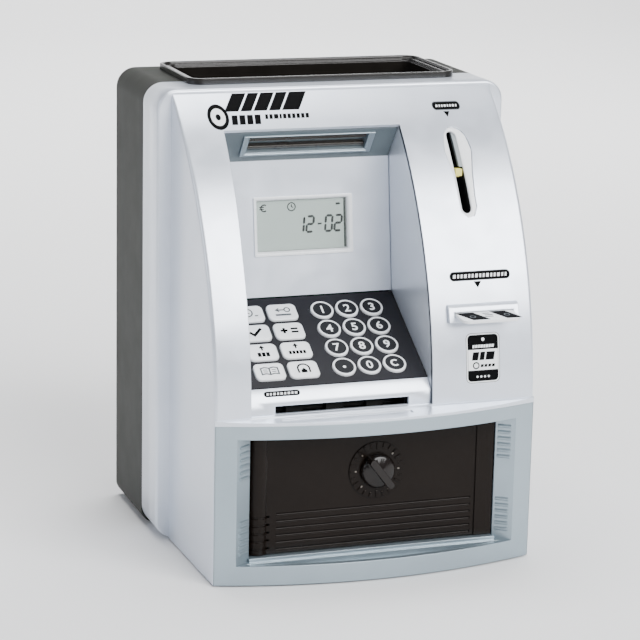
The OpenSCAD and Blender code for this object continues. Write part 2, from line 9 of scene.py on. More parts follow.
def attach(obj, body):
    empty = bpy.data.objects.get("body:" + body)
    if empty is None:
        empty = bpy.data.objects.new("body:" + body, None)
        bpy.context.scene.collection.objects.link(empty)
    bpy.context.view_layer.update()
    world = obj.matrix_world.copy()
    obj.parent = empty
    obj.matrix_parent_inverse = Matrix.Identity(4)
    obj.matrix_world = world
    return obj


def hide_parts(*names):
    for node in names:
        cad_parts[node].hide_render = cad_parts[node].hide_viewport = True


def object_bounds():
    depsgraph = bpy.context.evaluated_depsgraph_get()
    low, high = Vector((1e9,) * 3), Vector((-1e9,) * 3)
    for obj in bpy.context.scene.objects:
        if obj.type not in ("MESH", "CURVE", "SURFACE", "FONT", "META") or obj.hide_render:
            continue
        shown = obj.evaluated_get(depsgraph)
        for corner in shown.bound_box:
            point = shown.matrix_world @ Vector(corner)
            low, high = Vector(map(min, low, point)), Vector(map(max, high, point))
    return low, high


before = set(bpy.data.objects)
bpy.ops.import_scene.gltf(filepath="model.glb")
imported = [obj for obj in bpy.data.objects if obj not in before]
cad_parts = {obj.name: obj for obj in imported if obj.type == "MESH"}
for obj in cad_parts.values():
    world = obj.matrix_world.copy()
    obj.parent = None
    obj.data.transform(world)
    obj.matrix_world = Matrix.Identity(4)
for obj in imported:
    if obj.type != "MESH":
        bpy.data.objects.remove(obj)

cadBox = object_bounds()
print("frame loaded")

mm = 0.001

# sizes that the CAD model was drawn with, in mm; y = 0 is the plane of the safe frame's front corners
body = {
    "frontWidth": 190.0, "flangeWidth": 210.0, "height": 265.5, "wall": 2.5, "foot": 1.0,
    "arcRadius": 220.0, "arcStart": 90.0, "frontDepth": 84.0, "draft": 1.8, "seam": 115.0,
    "bow": 14.5, "frameTop": 93.0, "highRadius": 11.5, "edgeRadius": 2.2,
}
frontY = cadBox[0].y / mm + body["bow"]          # that plane, in the frame

# the recess in the side view: (y, z) of each corner
recess = {
    "left": -74.0, "right": 32.9, "low": 94.5, "lean": 1.8, "mid": -19.8,
    "lip": (64.4, 245.1), "head": (80.3, 224.0), "toe": (69.4, 146.4), "strip": (8.2, 110.2),
    "feedTop": (3.2, 104.5),
}


# camera and light

view = {
    "place": (-468.74, -1226.8, 477.05),         # mm, from the frame's corner plane
    "yaw": 19.4538, "pitch": 14.1311, "roll": 1.2457, "lens": 137.65,
    "floorSize": 6.0, "floorColour": "#E9E9E9", "world": "#F4F7FF", "worldStrength": 0.33,
}


def toLinear(hexColour):
    # an sRGB hex colour as linear red, green, blue and full alpha
    part = [int(hexColour[i:i + 2], 16) / 255 for i in (1, 3, 5)]
    return tuple(c / 12.92 if c <= 0.04045 else ((c + 0.055) / 1.055) ** 2.4 for c in part) + (1.0,)


def placeCamera():
    yaw, pitch, roll = (math.radians(view[k]) for k in ("yaw", "pitch", "roll"))
    look = Vector((math.sin(yaw) * math.cos(pitch), math.cos(yaw) * math.cos(pitch), -math.sin(pitch)))
    right = Vector((math.cos(yaw), -math.sin(yaw), 0))
    up = right.cross(look)
    rightRolled = math.cos(roll) * right + math.sin(roll) * up
    upRolled = math.cos(roll) * up - math.sin(roll) * right
    data = bpy.data.cameras.new("camera")
    data.lens = view["lens"]
    data.sensor_width = 36
    data.clip_end = 20
    camera = bpy.data.objects.new("camera", data)
    x, y, z = view["place"]
    turn = Matrix((rightRolled, upRolled, -look)).transposed().to_4x4()
    camera.matrix_world = Matrix.Translation(Vector((x, y + frontY, z)) * mm) @ turn
    bpy.context.collection.objects.link(camera)
    bpy.context.scene.camera = camera


# name: (place in m, aimed at, size in m, power in W, colour)
lights = {
    "topLight": ((0.0, 0.4, 2.0), (0, 0.1, 0.1), 1.2, 42, "#FFFFFF"),
    "panelLight": ((0.9, -2.3, 1.8), (0, 0, 0.14), 2.1, 152, "#FFFFFF"),
    "fillLight": ((-1.9, -0.3, 0.9), (0, 0, 0.12), 1.0, 9, "#F2F6FF"),
    "rimLight": ((1.3, 0.9, 0.8), (0, 0, 0.15), 0.8, 6, "#FFFFFF"),
    "sweepLight": ((0.6, 1.5, 1.9), (0.6, 3.4, 0.3), 1.4, 100, "#FFFFFF"),
}


def placeLights():
    for name, (place, aim, size, power, colour) in lights.items():
        data = bpy.data.lights.new(name, "AREA")
        data.shape = "SQUARE"
        data.size = size
        data.energy = power
        data.color = toLinear(colour)[:3]
        lamp = bpy.data.objects.new(name, data)
        lamp.location = place
        lamp.rotation_euler = (Vector(aim) - Vector(place)).to_track_quat("-Z", "Y").to_euler()
        bpy.context.collection.objects.link(lamp)
    world = bpy.data.worlds.new("studio")
    world.use_nodes = True
    background = world.node_tree.nodes["Background"]
    background.inputs["Color"].default_value = toLinear(view["world"])
    background.inputs["Strength"].default_value = view["worldStrength"]
    bpy.context.scene.world = world


placeCamera()
placeLights()
print("camera and lights placed")


# materials

def addNode(tree, kind, settings=None, **inputs):
    # one node with its settings, and its inputs as values or as sockets to link from
    node = tree.nodes.new("ShaderNode" + kind)
    for key, value in (settings or {}).items():
        setattr(node, key, value)
    for key, value in inputs.items():
        socket = node.inputs[int(key[1:])] if key[0] == "i" and key[1:].isdigit() else node.inputs[key]
        if isinstance(value, bpy.types.NodeSocket):
            tree.links.new(value, socket)
        else:
            socket.default_value = value
    return node


def objectSpace(tree):
    return addNode(tree, "TexCoord").outputs["Object"]


def twoTone(tree, main, share, light, dark):
    # base colour between two shades
    shade = addNode(tree, "Mix", dict(data_type="RGBA"), Factor=share,
                    i6=toLinear(light), i7=toLinear(dark))
    tree.links.new(shade.outputs[2], main.inputs["Base Color"])


def newMaterial(name, **shader):
    # a Principled material with constants set on the shader's own sockets
    material = bpy.data.materials.new(name)
    material.use_nodes = True
    tree = material.node_tree
    main = tree.nodes["Principled BSDF"]
    for key, value in shader.items():
        main.inputs[key.replace("_", " ")].default_value = value
    return material, tree, main


# each plastic: two shades that drift over the moulding, roughness, the size in mm of its surface grain
# and how deep that reads, metal and clear coat shares, dulling by handling, edge rounding in mm, gloss
plastics = {
    # pearl paint on ABS: silvery white with a cool cast, flakes too fine to see singly
    "pearlPaint": dict(light="#DFE5EF", dark="#D6DDE8", rough=0.3, grain=0.9, depth=0.018, metal=0.6, coat=0.15,
                       wear=0.05, round=0.5),
    # blue-grey metallic paint on the safe's frame, satin
    "framePaint": dict(light="#A3B1B9", dark="#98A6AF", rough=0.34, grain=0.7, depth=0.03, metal=0.75,
                       coat=0.15, wear=0.06, round=0.6),
    # grey ABS of the rear housing with a spark-eroded grain
    "grainedGrey": dict(light="#343531", dark="#30312E", rough=0.6, grain=0.55, depth=0.08, wear=0.03,
                        round=0.6, shine=0.2),
    # dark smoke styrene of the tray, polished
    "smokeStyrene": dict(light="#1C1A17", dark="#151311", rough=0.18, grain=2.5, depth=0.01, coat=0.1,
                         wear=0.07, round=0.5, shine=0.35),
    # dark brown ABS of the door, moulded glossy
    "doorBrown": dict(light="#17110D", dark="#120D0A", rough=0.22, grain=2.0, depth=0.012, wear=0.02,
                      round=0.35, shine=0.12),
    # the knob's brown ABS, polished
    "knobBrown": dict(light="#17110E", dark="#120D0B", rough=0.16, grain=2.0, depth=0.008, wear=0.02,
                      round=0.35, shine=0.32),
    # mid grey ABS inside the case, unpolished
    "innerGrey": dict(light="#9AA2A5", dark="#8D9598", rough=0.5, grain=0.8, depth=0.05, wear=0.05, round=0.3),
    # charcoal keypad plate with a fine satin texture
    "charcoalPlate": dict(light="#1D1D22", dark="#17171C", rough=0.42, grain=0.5, depth=0.05, wear=0.05,
                          round=0.25, shine=0.15),
    # painted shade on the recess's ceiling: a darker blue-grey standing in for the shade of a face that looks
    # down onto the dark keypad
    "ceilingShadePaint": dict(light="#5E696F", dark="#545F65", rough=0.4, grain=0.7, depth=0.03, metal=0.2, coat=0.1,
                         wear=0.06, round=0.4),
    # dark smoke-brown flaps of the dispenser slot
    "flapBrown": dict(light="#332D27", dark="#2A2520", rough=0.3, grain=1.0, depth=0.02, coat=0.2, wear=0.06,
                      round=0.3),
    # white ABS of keys and slot trims, glossy
    "whiteGloss": dict(light="#F0F2F4", dark="#E6E9EC", rough=0.26, grain=1.8, depth=0.01, coat=0.3, wear=0.04,
                       round=0.25),
    # black nylon and ABS of the mechanism
    "mechanismBlack": dict(light="#2B2C2E", dark="#222325", rough=0.45, grain=0.7, depth=0.04, wear=0.05,
                           round=0.2),
    # yellow acetal of the coin stop
    "yellowAcetal": dict(light="#EDE47E", dark="#E2D76B", rough=0.3, grain=1.5, depth=0.01, coat=0.1, wear=0.03,
                         round=0.2),
    # black rubber of feet, belt and rollers, matt with a dusty bloom
    "blackRubber": dict(light="#2A2A2A", dark="#1F1F1F", rough=0.78, grain=0.4, depth=0.08, wear=0.1,
                        round=0.3),
    # grey silicone sheet under the keys
    "greySilicone": dict(light="#6A6C70", dark="#5E6064", rough=0.7, grain=0.6, depth=0.04, wear=0.05,
                         round=0.2),
    # black printing ink
    "blackInk": dict(light="#08090A", dark="#060607", rough=0.7, grain=0.4, depth=0.02, wear=0.03, round=0.05,
                     shine=0.05),
    # dark ground printed in the number keys
    "keyInk": dict(light="#1D1E22", dark="#18191C", rough=0.35, grain=0.4, depth=0.02, wear=0.05, round=0.05,
                   shine=0.12),
    # painted highlight: the door's brown made lighter on the dial's raised bars, where they catch the light
    "tickBrown": dict(light="#6A645D", dark="#5F5952", rough=0.15, grain=1.0, depth=0.01, coat=0.1, wear=0.05,
                      round=0.2),
    # white printing ink
    "whiteInk": dict(light="#F2F4F5", dark="#E9ECEE", rough=0.35, grain=0.4, depth=0.02, coat=0.1, wear=0.03,
                     round=0.05),
    # liquid crystal segments, nearly black; also the painted shadow inside the window's right edge
    "segmentGrey": dict(light="#0E100F", dark="#0B0D0C", rough=0.6, grain=0.5, depth=0.0, wear=0.0, round=0.05,
                        shine=0.1),
    # dark grey of printed details
    "greyInk": dict(light="#4A4F54", dark="#42474B", rough=0.6, grain=0.4, depth=0.02, wear=0.03, round=0.05),
}
plasticBase = dict(metal=0.0, coat=0.0, shine=0.5)      # unless an entry says otherwise


def plastic(name):
    # moulded or painted plastic: a slow drift of shade, fine grain in the bump, duller patches
    spec = {**plasticBase, **plastics[name]}
    material, tree, main = newMaterial(name, Metallic=spec["metal"], IOR=1.5, Coat_Weight=spec["coat"],
                                       Coat_Roughness=0.12, Specular_IOR_Level=spec["shine"])
    place = objectSpace(tree)
    drift = addNode(tree, "TexNoise", Vector=place, Scale=1 / (38 * mm), Detail=3.0)
    speck = addNode(tree, "TexNoise", Vector=place, Scale=1 / (spec["grain"] * mm), Detail=2.0)
    blend = addNode(tree, "Math", dict(operation="MULTIPLY_ADD"), i0=speck.outputs["Fac"], i1=0.35,
                    i2=drift.outputs["Fac"])
    span = addNode(tree, "MapRange", i0=blend.outputs[0], i1=0.35, i2=1.0)
    twoTone(tree, main, span.outputs[0], spec["light"], spec["dark"])
    rub = addNode(tree, "TexNoise", Vector=place, Scale=1 / (14 * mm), Detail=5.0)
    rough = addNode(tree, "MapRange", i0=rub.outputs["Fac"], i1=0.35, i2=0.7,
                    i3=spec["rough"] - spec["wear"] / 2, i4=spec["rough"] + spec["wear"])
    tree.links.new(rough.outputs[0], main.inputs["Roughness"])
    rounded = addNode(tree, "Bevel", dict(samples=4), Radius=spec["round"] * mm)
    grain = addNode(tree, "Bump", Strength=spec["depth"], Distance=0.1 * mm, Height=speck.outputs["Fac"],
                    Normal=rounded.outputs[0])
    tree.links.new(grain.outputs[0], main.inputs["Normal"])
    return material


def brushedSteel():
    # bright plated steel with fine drawing lines
    material, tree, main = newMaterial("platedSteel", Metallic=1.0)
    place = objectSpace(tree)
    stretch = addNode(tree, "Mapping", Vector=place, Scale=(1, 1, 12))
    lines = addNode(tree, "TexNoise", Vector=stretch.outputs[0], Scale=1 / (1.2 * mm), Detail=3.0)
    twoTone(tree, main, lines.outputs["Fac"], "#C9CBCE", "#AEB1B5")
    rough = addNode(tree, "MapRange", i0=lines.outputs["Fac"], i3=0.2, i4=0.42)
    tree.links.new(rough.outputs[0], main.inputs["Roughness"])
    return material


def springBrass():
    # nickel-plated spring wire gone slightly warm
    material, tree, main = newMaterial("springWire", Metallic=1.0, Roughness=0.3)
    place = objectSpace(tree)
    tone = addNode(tree, "TexNoise", Vector=place, Scale=1 / (3 * mm), Detail=4.0)
    twoTone(tree, main, tone.outputs["Fac"], "#D2C08C", "#B7A36E")
    return material


def circuitBoard():
    # green solder mask over copper tracks on a 2.5 mm pitch
    material, tree, main = newMaterial("solderMask", Roughness=0.35, Coat_Weight=0.3)
    place = objectSpace(tree)
    tracks = addNode(tree, "TexBrick", Vector=place, Scale=1 / (10 * mm))
    tracks.inputs["Color1"].default_value = toLinear("#1F5A36")
    tracks.inputs["Color2"].default_value = toLinear("#27663F")
    tracks.inputs["Mortar"].default_value = toLinear("#3E8756")
    tree.links.new(tracks.outputs["Color"], main.inputs["Base Color"])
    return material


def crystalGlass():
    # reflective back of the display: grey-green with a faint mottle
    material, tree, main = newMaterial("crystalGlass", Roughness=0.3, Coat_Weight=0.6, Coat_Roughness=0.05)
    place = objectSpace(tree)
    cloud = addNode(tree, "TexNoise", Vector=place, Scale=1 / (22 * mm), Detail=3.0)
    fine = addNode(tree, "TexNoise", Vector=place, Scale=1 / (0.5 * mm), Detail=1.0)
    both = addNode(tree, "Math", dict(operation="MULTIPLY_ADD"), i0=fine.outputs["Fac"], i1=0.25,
                   i2=cloud.outputs["Fac"])
    twoTone(tree, main, both.outputs[0], "#AEBAB5", "#A3B0AA")
    return material


def clearWindow():
    # clear acrylic: most light passes, with a faint gloss
    material, tree, main = newMaterial("clearAcrylic", Roughness=0.06, IOR=1.49, Alpha=0.05)
    place = objectSpace(tree)
    haze = addNode(tree, "TexNoise", Vector=place, Scale=1 / (9 * mm), Detail=4.0)
    rough = addNode(tree, "MapRange", i0=haze.outputs["Fac"], i3=0.04, i4=0.12)
    tree.links.new(rough.outputs[0], main.inputs["Roughness"])
    main.inputs["Base Color"].default_value = toLinear("#C4CEC9")
    return material


def cellJacket():
    # printed foil jacket of the cells: dark blue-grey with a lighter band round one end
    material, tree, main = newMaterial("cellJacket", Metallic=0.6, Roughness=0.32)
    place = objectSpace(tree)
    band = addNode(tree, "TexWave", dict(bands_direction="X"), Vector=place,
                   Scale=1 / (120 * mm), Distortion=0.0)
    twoTone(tree, main, band.outputs["Fac"], "#3A4A5C", "#8E9AA6")
    return material


def floorPaper():
    # seamless pale studio paper
    material, tree, main = newMaterial("studioPaper", Roughness=0.9)
    place = objectSpace(tree)
    fibre = addNode(tree, "TexNoise", Vector=place, Scale=1 / (4 * mm), Detail=3.0)
    bump = addNode(tree, "Bump", Strength=0.02, Distance=0.1 * mm, Height=fibre.outputs["Fac"])
    tree.links.new(bump.outputs[0], main.inputs["Normal"])
    main.inputs["Base Color"].default_value = toLinear(view["floorColour"])
    return material


look = {name: plastic(name) for name in plastics}
look.update(steel=brushedSteel(), spring=springBrass(), board=circuitBoard(), crystal=crystalGlass(),
            window=clearWindow(), cell=cellJacket(), paper=floorPaper())
print("materials made:", len(look))


# surfaces

def quads(rows, cols, closeRows=False, closeCols=False):
    # faces of a grid of rows x cols points; point (i, j) is number i * cols + j
    i = np.arange(rows if closeRows else rows - 1)[:, None]
    j = np.arange(cols if closeCols else cols - 1)[None, :]
    a = i * cols + j
    b = i * cols + (j + 1) % cols
    c = (i + 1) % rows * cols + (j + 1) % cols
    d = (i + 1) % rows * cols + j
    return np.stack([a, b, c, d], -1).reshape(-1, 4)


def join(*parts):
    # several (points, faces) pairs as one
    points, faces, start = [], [], 0
    for p, f in parts:
        points.append(np.asarray(p, float).reshape(-1, 3))
        faces.extend([tuple(int(v) + start for v in face) for face in f])
        start += len(points[-1])
    return np.concatenate(points), faces


def makePiece(name, points, faces, bodyName, material, slotName, nodes=(), sharp=35, thickness=0,
              bevel=None, outward=True):
    # a mesh from points in mm; it is welded, given its wall and edge rounding, and rides on a body
    points = np.asarray(points, float).reshape(-1, 3) + (0, frontY, 0)
    mesh = bpy.data.meshes.new(name)
    mesh.from_pydata((points * mm).tolist(), [], [tuple(int(v) for v in f) for f in faces])
    return finishMesh(name, mesh, bodyName, material, nodes, sharp, thickness, bevel, outward)


def finishMesh(name, mesh, bodyName, material, nodes, sharp, thickness, bevel, outward):
    work = bmesh.new()
    work.from_mesh(mesh)
    bmesh.ops.remove_doubles(work, verts=work.verts, dist=2e-6)
    bmesh.ops.dissolve_degenerate(work, edges=work.edges, dist=1e-6)
    if outward:
        bmesh.ops.recalc_face_normals(work, faces=work.faces)
        # an open sheet counts as outward when its faces look away from its middle
        middle = sum((v.co for v in work.verts), Vector()) / len(work.verts)
        away = sum(f.normal.dot(f.calc_center_median() - middle) * f.calc_area() for f in work.faces)
        if thickness and away < 0:
            bmesh.ops.reverse_faces(work, faces=work.faces)
    work.to_mesh(mesh)
    work.free()
    mesh.materials.append(look[material])
    piece = bpy.data.objects.new(name, mesh)
    bpy.context.collection.objects.link(piece)
    if thickness:
        wall = piece.modifiers.new("wall", "SOLIDIFY")
        wall.thickness = thickness * mm
        wall.offset = -1
        wall.use_even_offset = True
    if bevel:
        edge = piece.modifiers.new("edge", "BEVEL")
        edge.width = bevel[0] * mm
        edge.segments = bevel[1]
        edge.limit_method = "ANGLE"
        edge.angle_limit = math.radians(bevel[2] if len(bevel) > 2 else 50)
    mesh.shade_smooth()
    mesh.set_sharp_from_angle(angle=math.radians(sharp))
    if bevel or thickness:
        bpy.context.view_layer.objects.active = piece
        piece.select_set(True)
        for modifier in list(piece.modifiers):
            bpy.ops.object.modifier_apply(modifier=modifier.name)
        piece.select_set(False)
        piece.data.shade_smooth()
        piece.data.set_sharp_from_angle(angle=math.radians(sharp))
    if bevel:
        # big flat faces lead the shading of the small ones beside them
        piece.select_set(True)
        weigh = piece.modifiers.new("weigh", "WEIGHTED_NORMAL")
        weigh.keep_sharp = True
        bpy.ops.object.modifier_apply(modifier=weigh.name)
        piece.select_set(False)
    if nodes:
        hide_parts(*nodes)
    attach(piece, bodyName)
    return piece


def softened(node, bodyName, material, bevel):
    # a CAD part with its edges rounded: its mesh is welded, its flat faces joined, then bevelled
    flat, sharp = 0.5, 35                        # degrees
    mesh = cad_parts[node].data.copy()
    mesh.materials.clear()
    work = bmesh.new()
    work.from_mesh(mesh)
    bmesh.ops.remove_doubles(work, verts=work.verts, dist=2e-6)
    bmesh.ops.dissolve_limit(work, angle_limit=math.radians(flat), verts=work.verts, edges=work.edges)
    work.to_mesh(mesh)
    work.free()
    name = "".join(w.capitalize() if k else w for k, w in enumerate(node.split("_"))) + "Part"
    return finishMesh(name, mesh, bodyName, material, (node,), sharp, 0, bevel, False)


def arcY(z):
    # depth of the leaning front at height z
    z = np.asarray(z, float)
    rise = np.clip(z - body["arcStart"], 0, None)
    return np.where(rise > 0, body["arcRadius"] - np.sqrt(body["arcRadius"] ** 2 - rise ** 2), 0.0)


def bowY(x):
    # the safe frame's front, an arc through its two corners
    half = body["frontWidth"] / 2
    radius = (half ** 2 + body["bow"] ** 2) / (2 * body["bow"])
    return radius - body["bow"] - np.sqrt(radius ** 2 - np.minimum(np.abs(x), half) ** 2)


def tilted(points, origin, towards):
    # points on a sloping face: x across, y up the face from origin to towards, z out of it
    away = np.subtract(towards, origin)
    s, c = away[1] / np.hypot(*away), away[0] / np.hypot(*away)
    p = np.asarray(points, float).reshape(-1, 3)
    y, z = origin[0] + p[:, 1] * c - p[:, 2] * s, origin[1] + p[:, 1] * s + p[:, 2] * c
    return np.stack([p[:, 0], y, z], 1)


def onKeypad(points):
    return tilted(points, recess["strip"], recess["toe"])


def onScreen(points):
    return tilted(points, recess["toe"], recess["head"])


def onArc(points, lift):
    # x and z kept, y laid on the leaning front and lifted off it
    p = np.asarray(points, float).reshape(-1, 3)
    rise = np.clip(p[:, 2] - body["arcStart"], 0, None)
    radius = body["arcRadius"] + lift - p[:, 1]
    deep = body["arcRadius"] - np.sqrt(radius ** 2 - rise ** 2)
    return np.stack([p[:, 0], deep, p[:, 2]], 1)


def roundedRing(x0, z0, x1, z1, radius, arcSteps=8, sideSteps=1):
    # closed outline of a rectangle with round corners, anticlockwise from its low right corner
    corners = [(x1 - radius, z0 + radius, -90), (x1 - radius, z1 - radius, 0),
               (x0 + radius, z1 - radius, 90), (x0 + radius, z0 + radius, 180)]
    turn = np.radians(np.linspace(0, 90, arcSteps + 1))
    out = []
    for k, (cx, cz, start) in enumerate(corners):
        angle = np.radians(start) + turn
        arc = np.stack([cx + radius * np.cos(angle), cz + radius * np.sin(angle)], 1)
        nx, nz, nextStart = corners[(k + 1) % 4]
        after = math.radians(nextStart)
        far = np.array([nx + radius * math.cos(after), nz + radius * math.sin(after)])
        share = np.linspace(0, 1, sideSteps + 1)[1:-1, None]
        out += [arc, arc[-1] + share * (far - arc[-1])]
    return np.concatenate(out)


def loftRings(rings, capFirst=False, capLast=False):
    # skin over closed rings of equally many points
    rings = np.asarray(rings, float)
    count, size = rings.shape[:2]
    faces = [tuple(f) for f in quads(count, size, closeCols=True)]
    if capFirst:
        faces.append(tuple(range(size - 1, -1, -1)))
    if capLast:
        faces.append(tuple(range((count - 1) * size, count * size)))
    return rings.reshape(-1, 3), faces


def lathe(profile, segments=48):
    # (radius, height) points turned about the local z axis
    profile = np.asarray(profile, float)
    angle = np.linspace(0, 2 * math.pi, segments, endpoint=False)
    r = profile[:, 0][:, None]
    along = np.repeat(profile[:, 1][:, None], segments, 1)
    points = np.stack([r * np.cos(angle), r * np.sin(angle), along], -1)
    return points.reshape(-1, 3), [tuple(f) for f in quads(len(profile), segments, closeCols=True)]


def rowShape(zs, half, centre, cols=7):
    # flat shape in x and z: at each height a row of points, half wide each way from its centre
    zs = np.asarray(zs, float)
    across = np.linspace(-1, 1, cols)
    x = np.broadcast_to(centre, zs.shape)[:, None] + np.asarray(half)[:, None] * across
    points = np.stack([x, np.zeros_like(x), np.repeat(zs[:, None], cols, 1)], -1)
    return points.reshape(-1, 3), quads(len(zs), cols)


def roundedRows(width, height, radius, middle, cols=7):
    # rounded rectangle as rows, closer together near its round ends
    t = np.linspace(-1, 1, 25)
    z = height / 2 * np.sin(t * math.pi / 2)
    over = np.clip(np.abs(z) - (height / 2 - radius), 0, radius)
    half = width / 2 - radius + np.sqrt(np.clip(radius ** 2 - over ** 2, 0, None))
    return rowShape(z + middle[1], half, middle[0], cols)


def floorPiece():
    # paper sweep: flat under the object, rising far behind it in one quarter circle
    size = view["floorSize"]
    across = np.linspace(-size, size, 9)
    flat = np.linspace(-size / 2, 2.2, 13)
    bend = np.radians(np.linspace(0, 80, 12))[1:]
    y = np.concatenate([flat, 2.2 + 1.5 * np.sin(bend)])
    z = np.concatenate([flat * 0, 1.5 - 1.5 * np.cos(bend)])
    points = np.stack([np.tile(across, (len(y), 1)), np.repeat(y[:, None], 9, 1),
                       np.repeat(z[:, None], 9, 1)], -1)
    mesh = bpy.data.meshes.new("floor")
    mesh.from_pydata(points.reshape(-1, 3).tolist(), [], quads(len(y), 9).tolist())
    mesh.materials.append(look["paper"])
    mesh.shade_smooth()
    floor = bpy.data.objects.new("floor", mesh)
    bpy.context.collection.objects.link(floor)


floorPiece()
print("surface tools ready")


# front shell

coin = {
    "x": 62.4, "width": 5.8, "low": 199.1, "high": 241.1, "patch": (53.0, 194.5, 76.0, 245.1),
    "eggX": 63.4, "eggLow": 196.4, "eggHigh": 243.0, "eggHalf": 5.2, "rightBulge": 4.1, "rightAt": 231.0,
    "rightSpread": 11.0, "leftBulge": 2.4, "leftAt": 232.0, "leftSpread": 7.0, "seat": 0.45,
}
cardSlot = {"x": 64.2, "half": 21.5, "low": 141.5, "high": 151.0, "height": 146.0, "tilt": 6.5}
skinGap = {"x": 4.6, "z": 4.4}
safeHole = {"half": 84.0, "low": 8.5, "high": 88.5}
rim = {"edge": 1.6, "inward": 13.0, "frontWall": 2.5, "step": 0.35, "trayHalf": 76.0, "trayFront": 104.8}
groove = {"half": 38.5, "middle": -5.2, "reach": 2.6, "deep": 0.75}
flareRise = [(0.0, 3.3), (-1.4, 2.6), (-4.2, 2.1), (-8.5, 1.75), (-14.5, 1.5)]     # (y, rise over the frame)


def steps(marks, gap):
    # values through every mark, no further apart than gap
    marks = sorted(marks)
    parts = [np.linspace(a, b, max(2, int(math.ceil((b - a) / gap)) + 1))
             for a, b in zip(marks[:-1], marks[1:])]
    return np.unique(np.round(np.concatenate(parts), 4))


def skinRows(xs, zs):
    # one row per height: left side, rounding, front, rounding, right side; the sides widen to the back
    r, half = body["edgeRadius"], body["frontWidth"] / 2
    grow = body["draft"] / body["frontDepth"]
    turn = np.radians(np.linspace(0, 90, 6))
    back = body["frontDepth"] + 1.0
    rows = []
    for z, y0 in zip(zs, arcY(zs)):
        room = min(r, max(back - y0, 0.02))
        side = np.linspace(back, y0 + room, 9)
        left = np.stack([-(half + grow * side), side], 1)
        edge = half + grow * (y0 + room)
        bend = np.stack([room * (1 - np.cos(turn)) - edge, y0 + room * (1 - np.sin(turn))], 1)
        lean = np.interp(z, [185, recess["lip"][1], 256], [0, recess["lean"], 0])
        across = xs + lean * (xs == recess["left"])
        outer = np.abs(xs) > 88
        widened = np.sign(xs) * (88 + (np.abs(xs) - 88) * (edge - room - 88) / (half - r - 88))
        across = np.where(outer, widened, across)
        rows.append(np.concatenate([left, bend[1:-1], np.stack([across, xs * 0 + y0], 1),
                                    bend[1:-1][::-1] * (-1, 1), left[::-1] * (-1, 1)]))
    return np.array(rows)


def frontSkin():
    # the leaning front and its sides as one grid, less the cells of its openings
    half = body["frontWidth"] / 2 - body["edgeRadius"]
    px0, pz0, px1, pz1 = coin["patch"]
    slotLeft, slotRight = cardSlot["x"] - cardSlot["half"], cardSlot["x"] + cardSlot["half"]
    xs = steps([-half, -safeHole["half"], recess["left"], recess["right"], px0, px1, slotLeft, slotRight,
                safeHole["half"], half], skinGap["x"])
    zs = steps([body["foot"], safeHole["low"], safeHole["high"], recess["low"], cardSlot["low"],
                cardSlot["high"], pz0, pz1, recess["lip"][1], 250.0, 258.0, 262.4, 263.9], skinGap["z"])
    rows = skinRows(xs, zs)
    cols = rows.shape[1]
    points = np.concatenate([rows, np.repeat(zs[:, None, None], cols, 1)], -1).reshape(-1, 3)
    faces = quads(len(zs), cols)
    i, j = np.divmod(np.arange(len(faces)), cols - 1)
    k = j - 13                                   # columns before the flat front: nine of side, four of rounding
    zMid = (zs[i] + zs[i + 1]) / 2
    on = np.clip(k, 0, len(xs) - 2)
    xMid = np.where((k >= 0) & (k < len(xs) - 1), (xs[on] + xs[on + 1]) / 2, 999)
    holes = [(recess["left"], recess["right"], recess["low"], recess["lip"][1]),
             (-safeHole["half"], safeHole["half"], safeHole["low"], safeHole["high"]),
             (slotLeft, slotRight, cardSlot["low"], cardSlot["high"]), (px0, px1, pz0, pz1)]
    gone = np.zeros(len(faces), bool)
    for x0, x1, z0, z1 in holes:
        gone |= (xMid > x0) & (xMid < x1) & (zMid > z0) & (zMid < z1)
    gx, gz = xs[(xs >= px0) & (xs <= px1)], zs[(zs >= pz0) & (zs <= pz1)]
    border = np.array([(x, gz[0]) for x in gx] + [(gx[-1], z) for z in gz[1:]]
                      + [(x, gz[-1]) for x in gx[::-1][1:]] + [(gx[0], z) for z in gz[::-1][1:-1]])
    egg = coinOutline(border, True)
    patch = loftRings([sunk(ring, deep) for ring, deep in
                       [(border, 0), (border + (egg - border) * 0.5, 0), (egg, 0)]])
    return join((points, faces[~gone]), patch)


def sunk(flat, deep):
    # (x, z) points laid on the leaning front and pushed in along its normal
    laid = onArc(np.stack([flat[:, 0], flat[:, 0] * 0, flat[:, 1]], 1), 0)
    normal = np.stack([laid[:, 0] * 0, body["arcRadius"] - laid[:, 1], body["arcStart"] - laid[:, 2]], 1)
    return laid + deep * normal / np.linalg.norm(normal, axis=1)[:, None]


def coinOutline(aim, egg):
    # the egg-shaped seat or the coin slot, one point for each aim point, in the same directions
    low, high = (coin["eggLow"], coin["eggHigh"]) if egg else (coin["low"], coin["high"])
    half, x = (coin["eggHalf"], coin["eggX"]) if egg else (coin["width"] / 2, coin["x"])
    turn = np.linspace(0, 2 * math.pi, 400, endpoint=False)
    reach = (high - low) / 2 - half
    px = x + half * np.cos(turn)
    pz = (low + high) / 2 + half * np.sin(turn) + reach * np.clip(np.sin(turn) * 40, -1, 1)
    if egg:
        right = coin["rightBulge"] * np.exp(-((pz - coin["rightAt"]) / coin["rightSpread"]) ** 2)
        left = coin["leftBulge"] * np.exp(-((pz - coin["leftAt"]) / coin["leftSpread"]) ** 2)
        px = px + np.clip(np.cos(turn), 0, 1) * right + np.clip(np.cos(turn), -1, 0) * left
    centre = (coin["x"], (coin["low"] + coin["high"]) / 2)
    angle = np.arctan2(pz - centre[1], (px - centre[0]) * 2.2)
    want = np.arctan2(aim[:, 1] - centre[1], (aim[:, 0] - centre[0]) * 2.2)
    order = np.argsort(angle)
    a = np.concatenate([angle[order] + way for way in (-2 * math.pi, 0, 2 * math.pi)])
    return np.stack([np.interp(want, a, np.tile(v[order], 3)) for v in (px, pz)], 1)


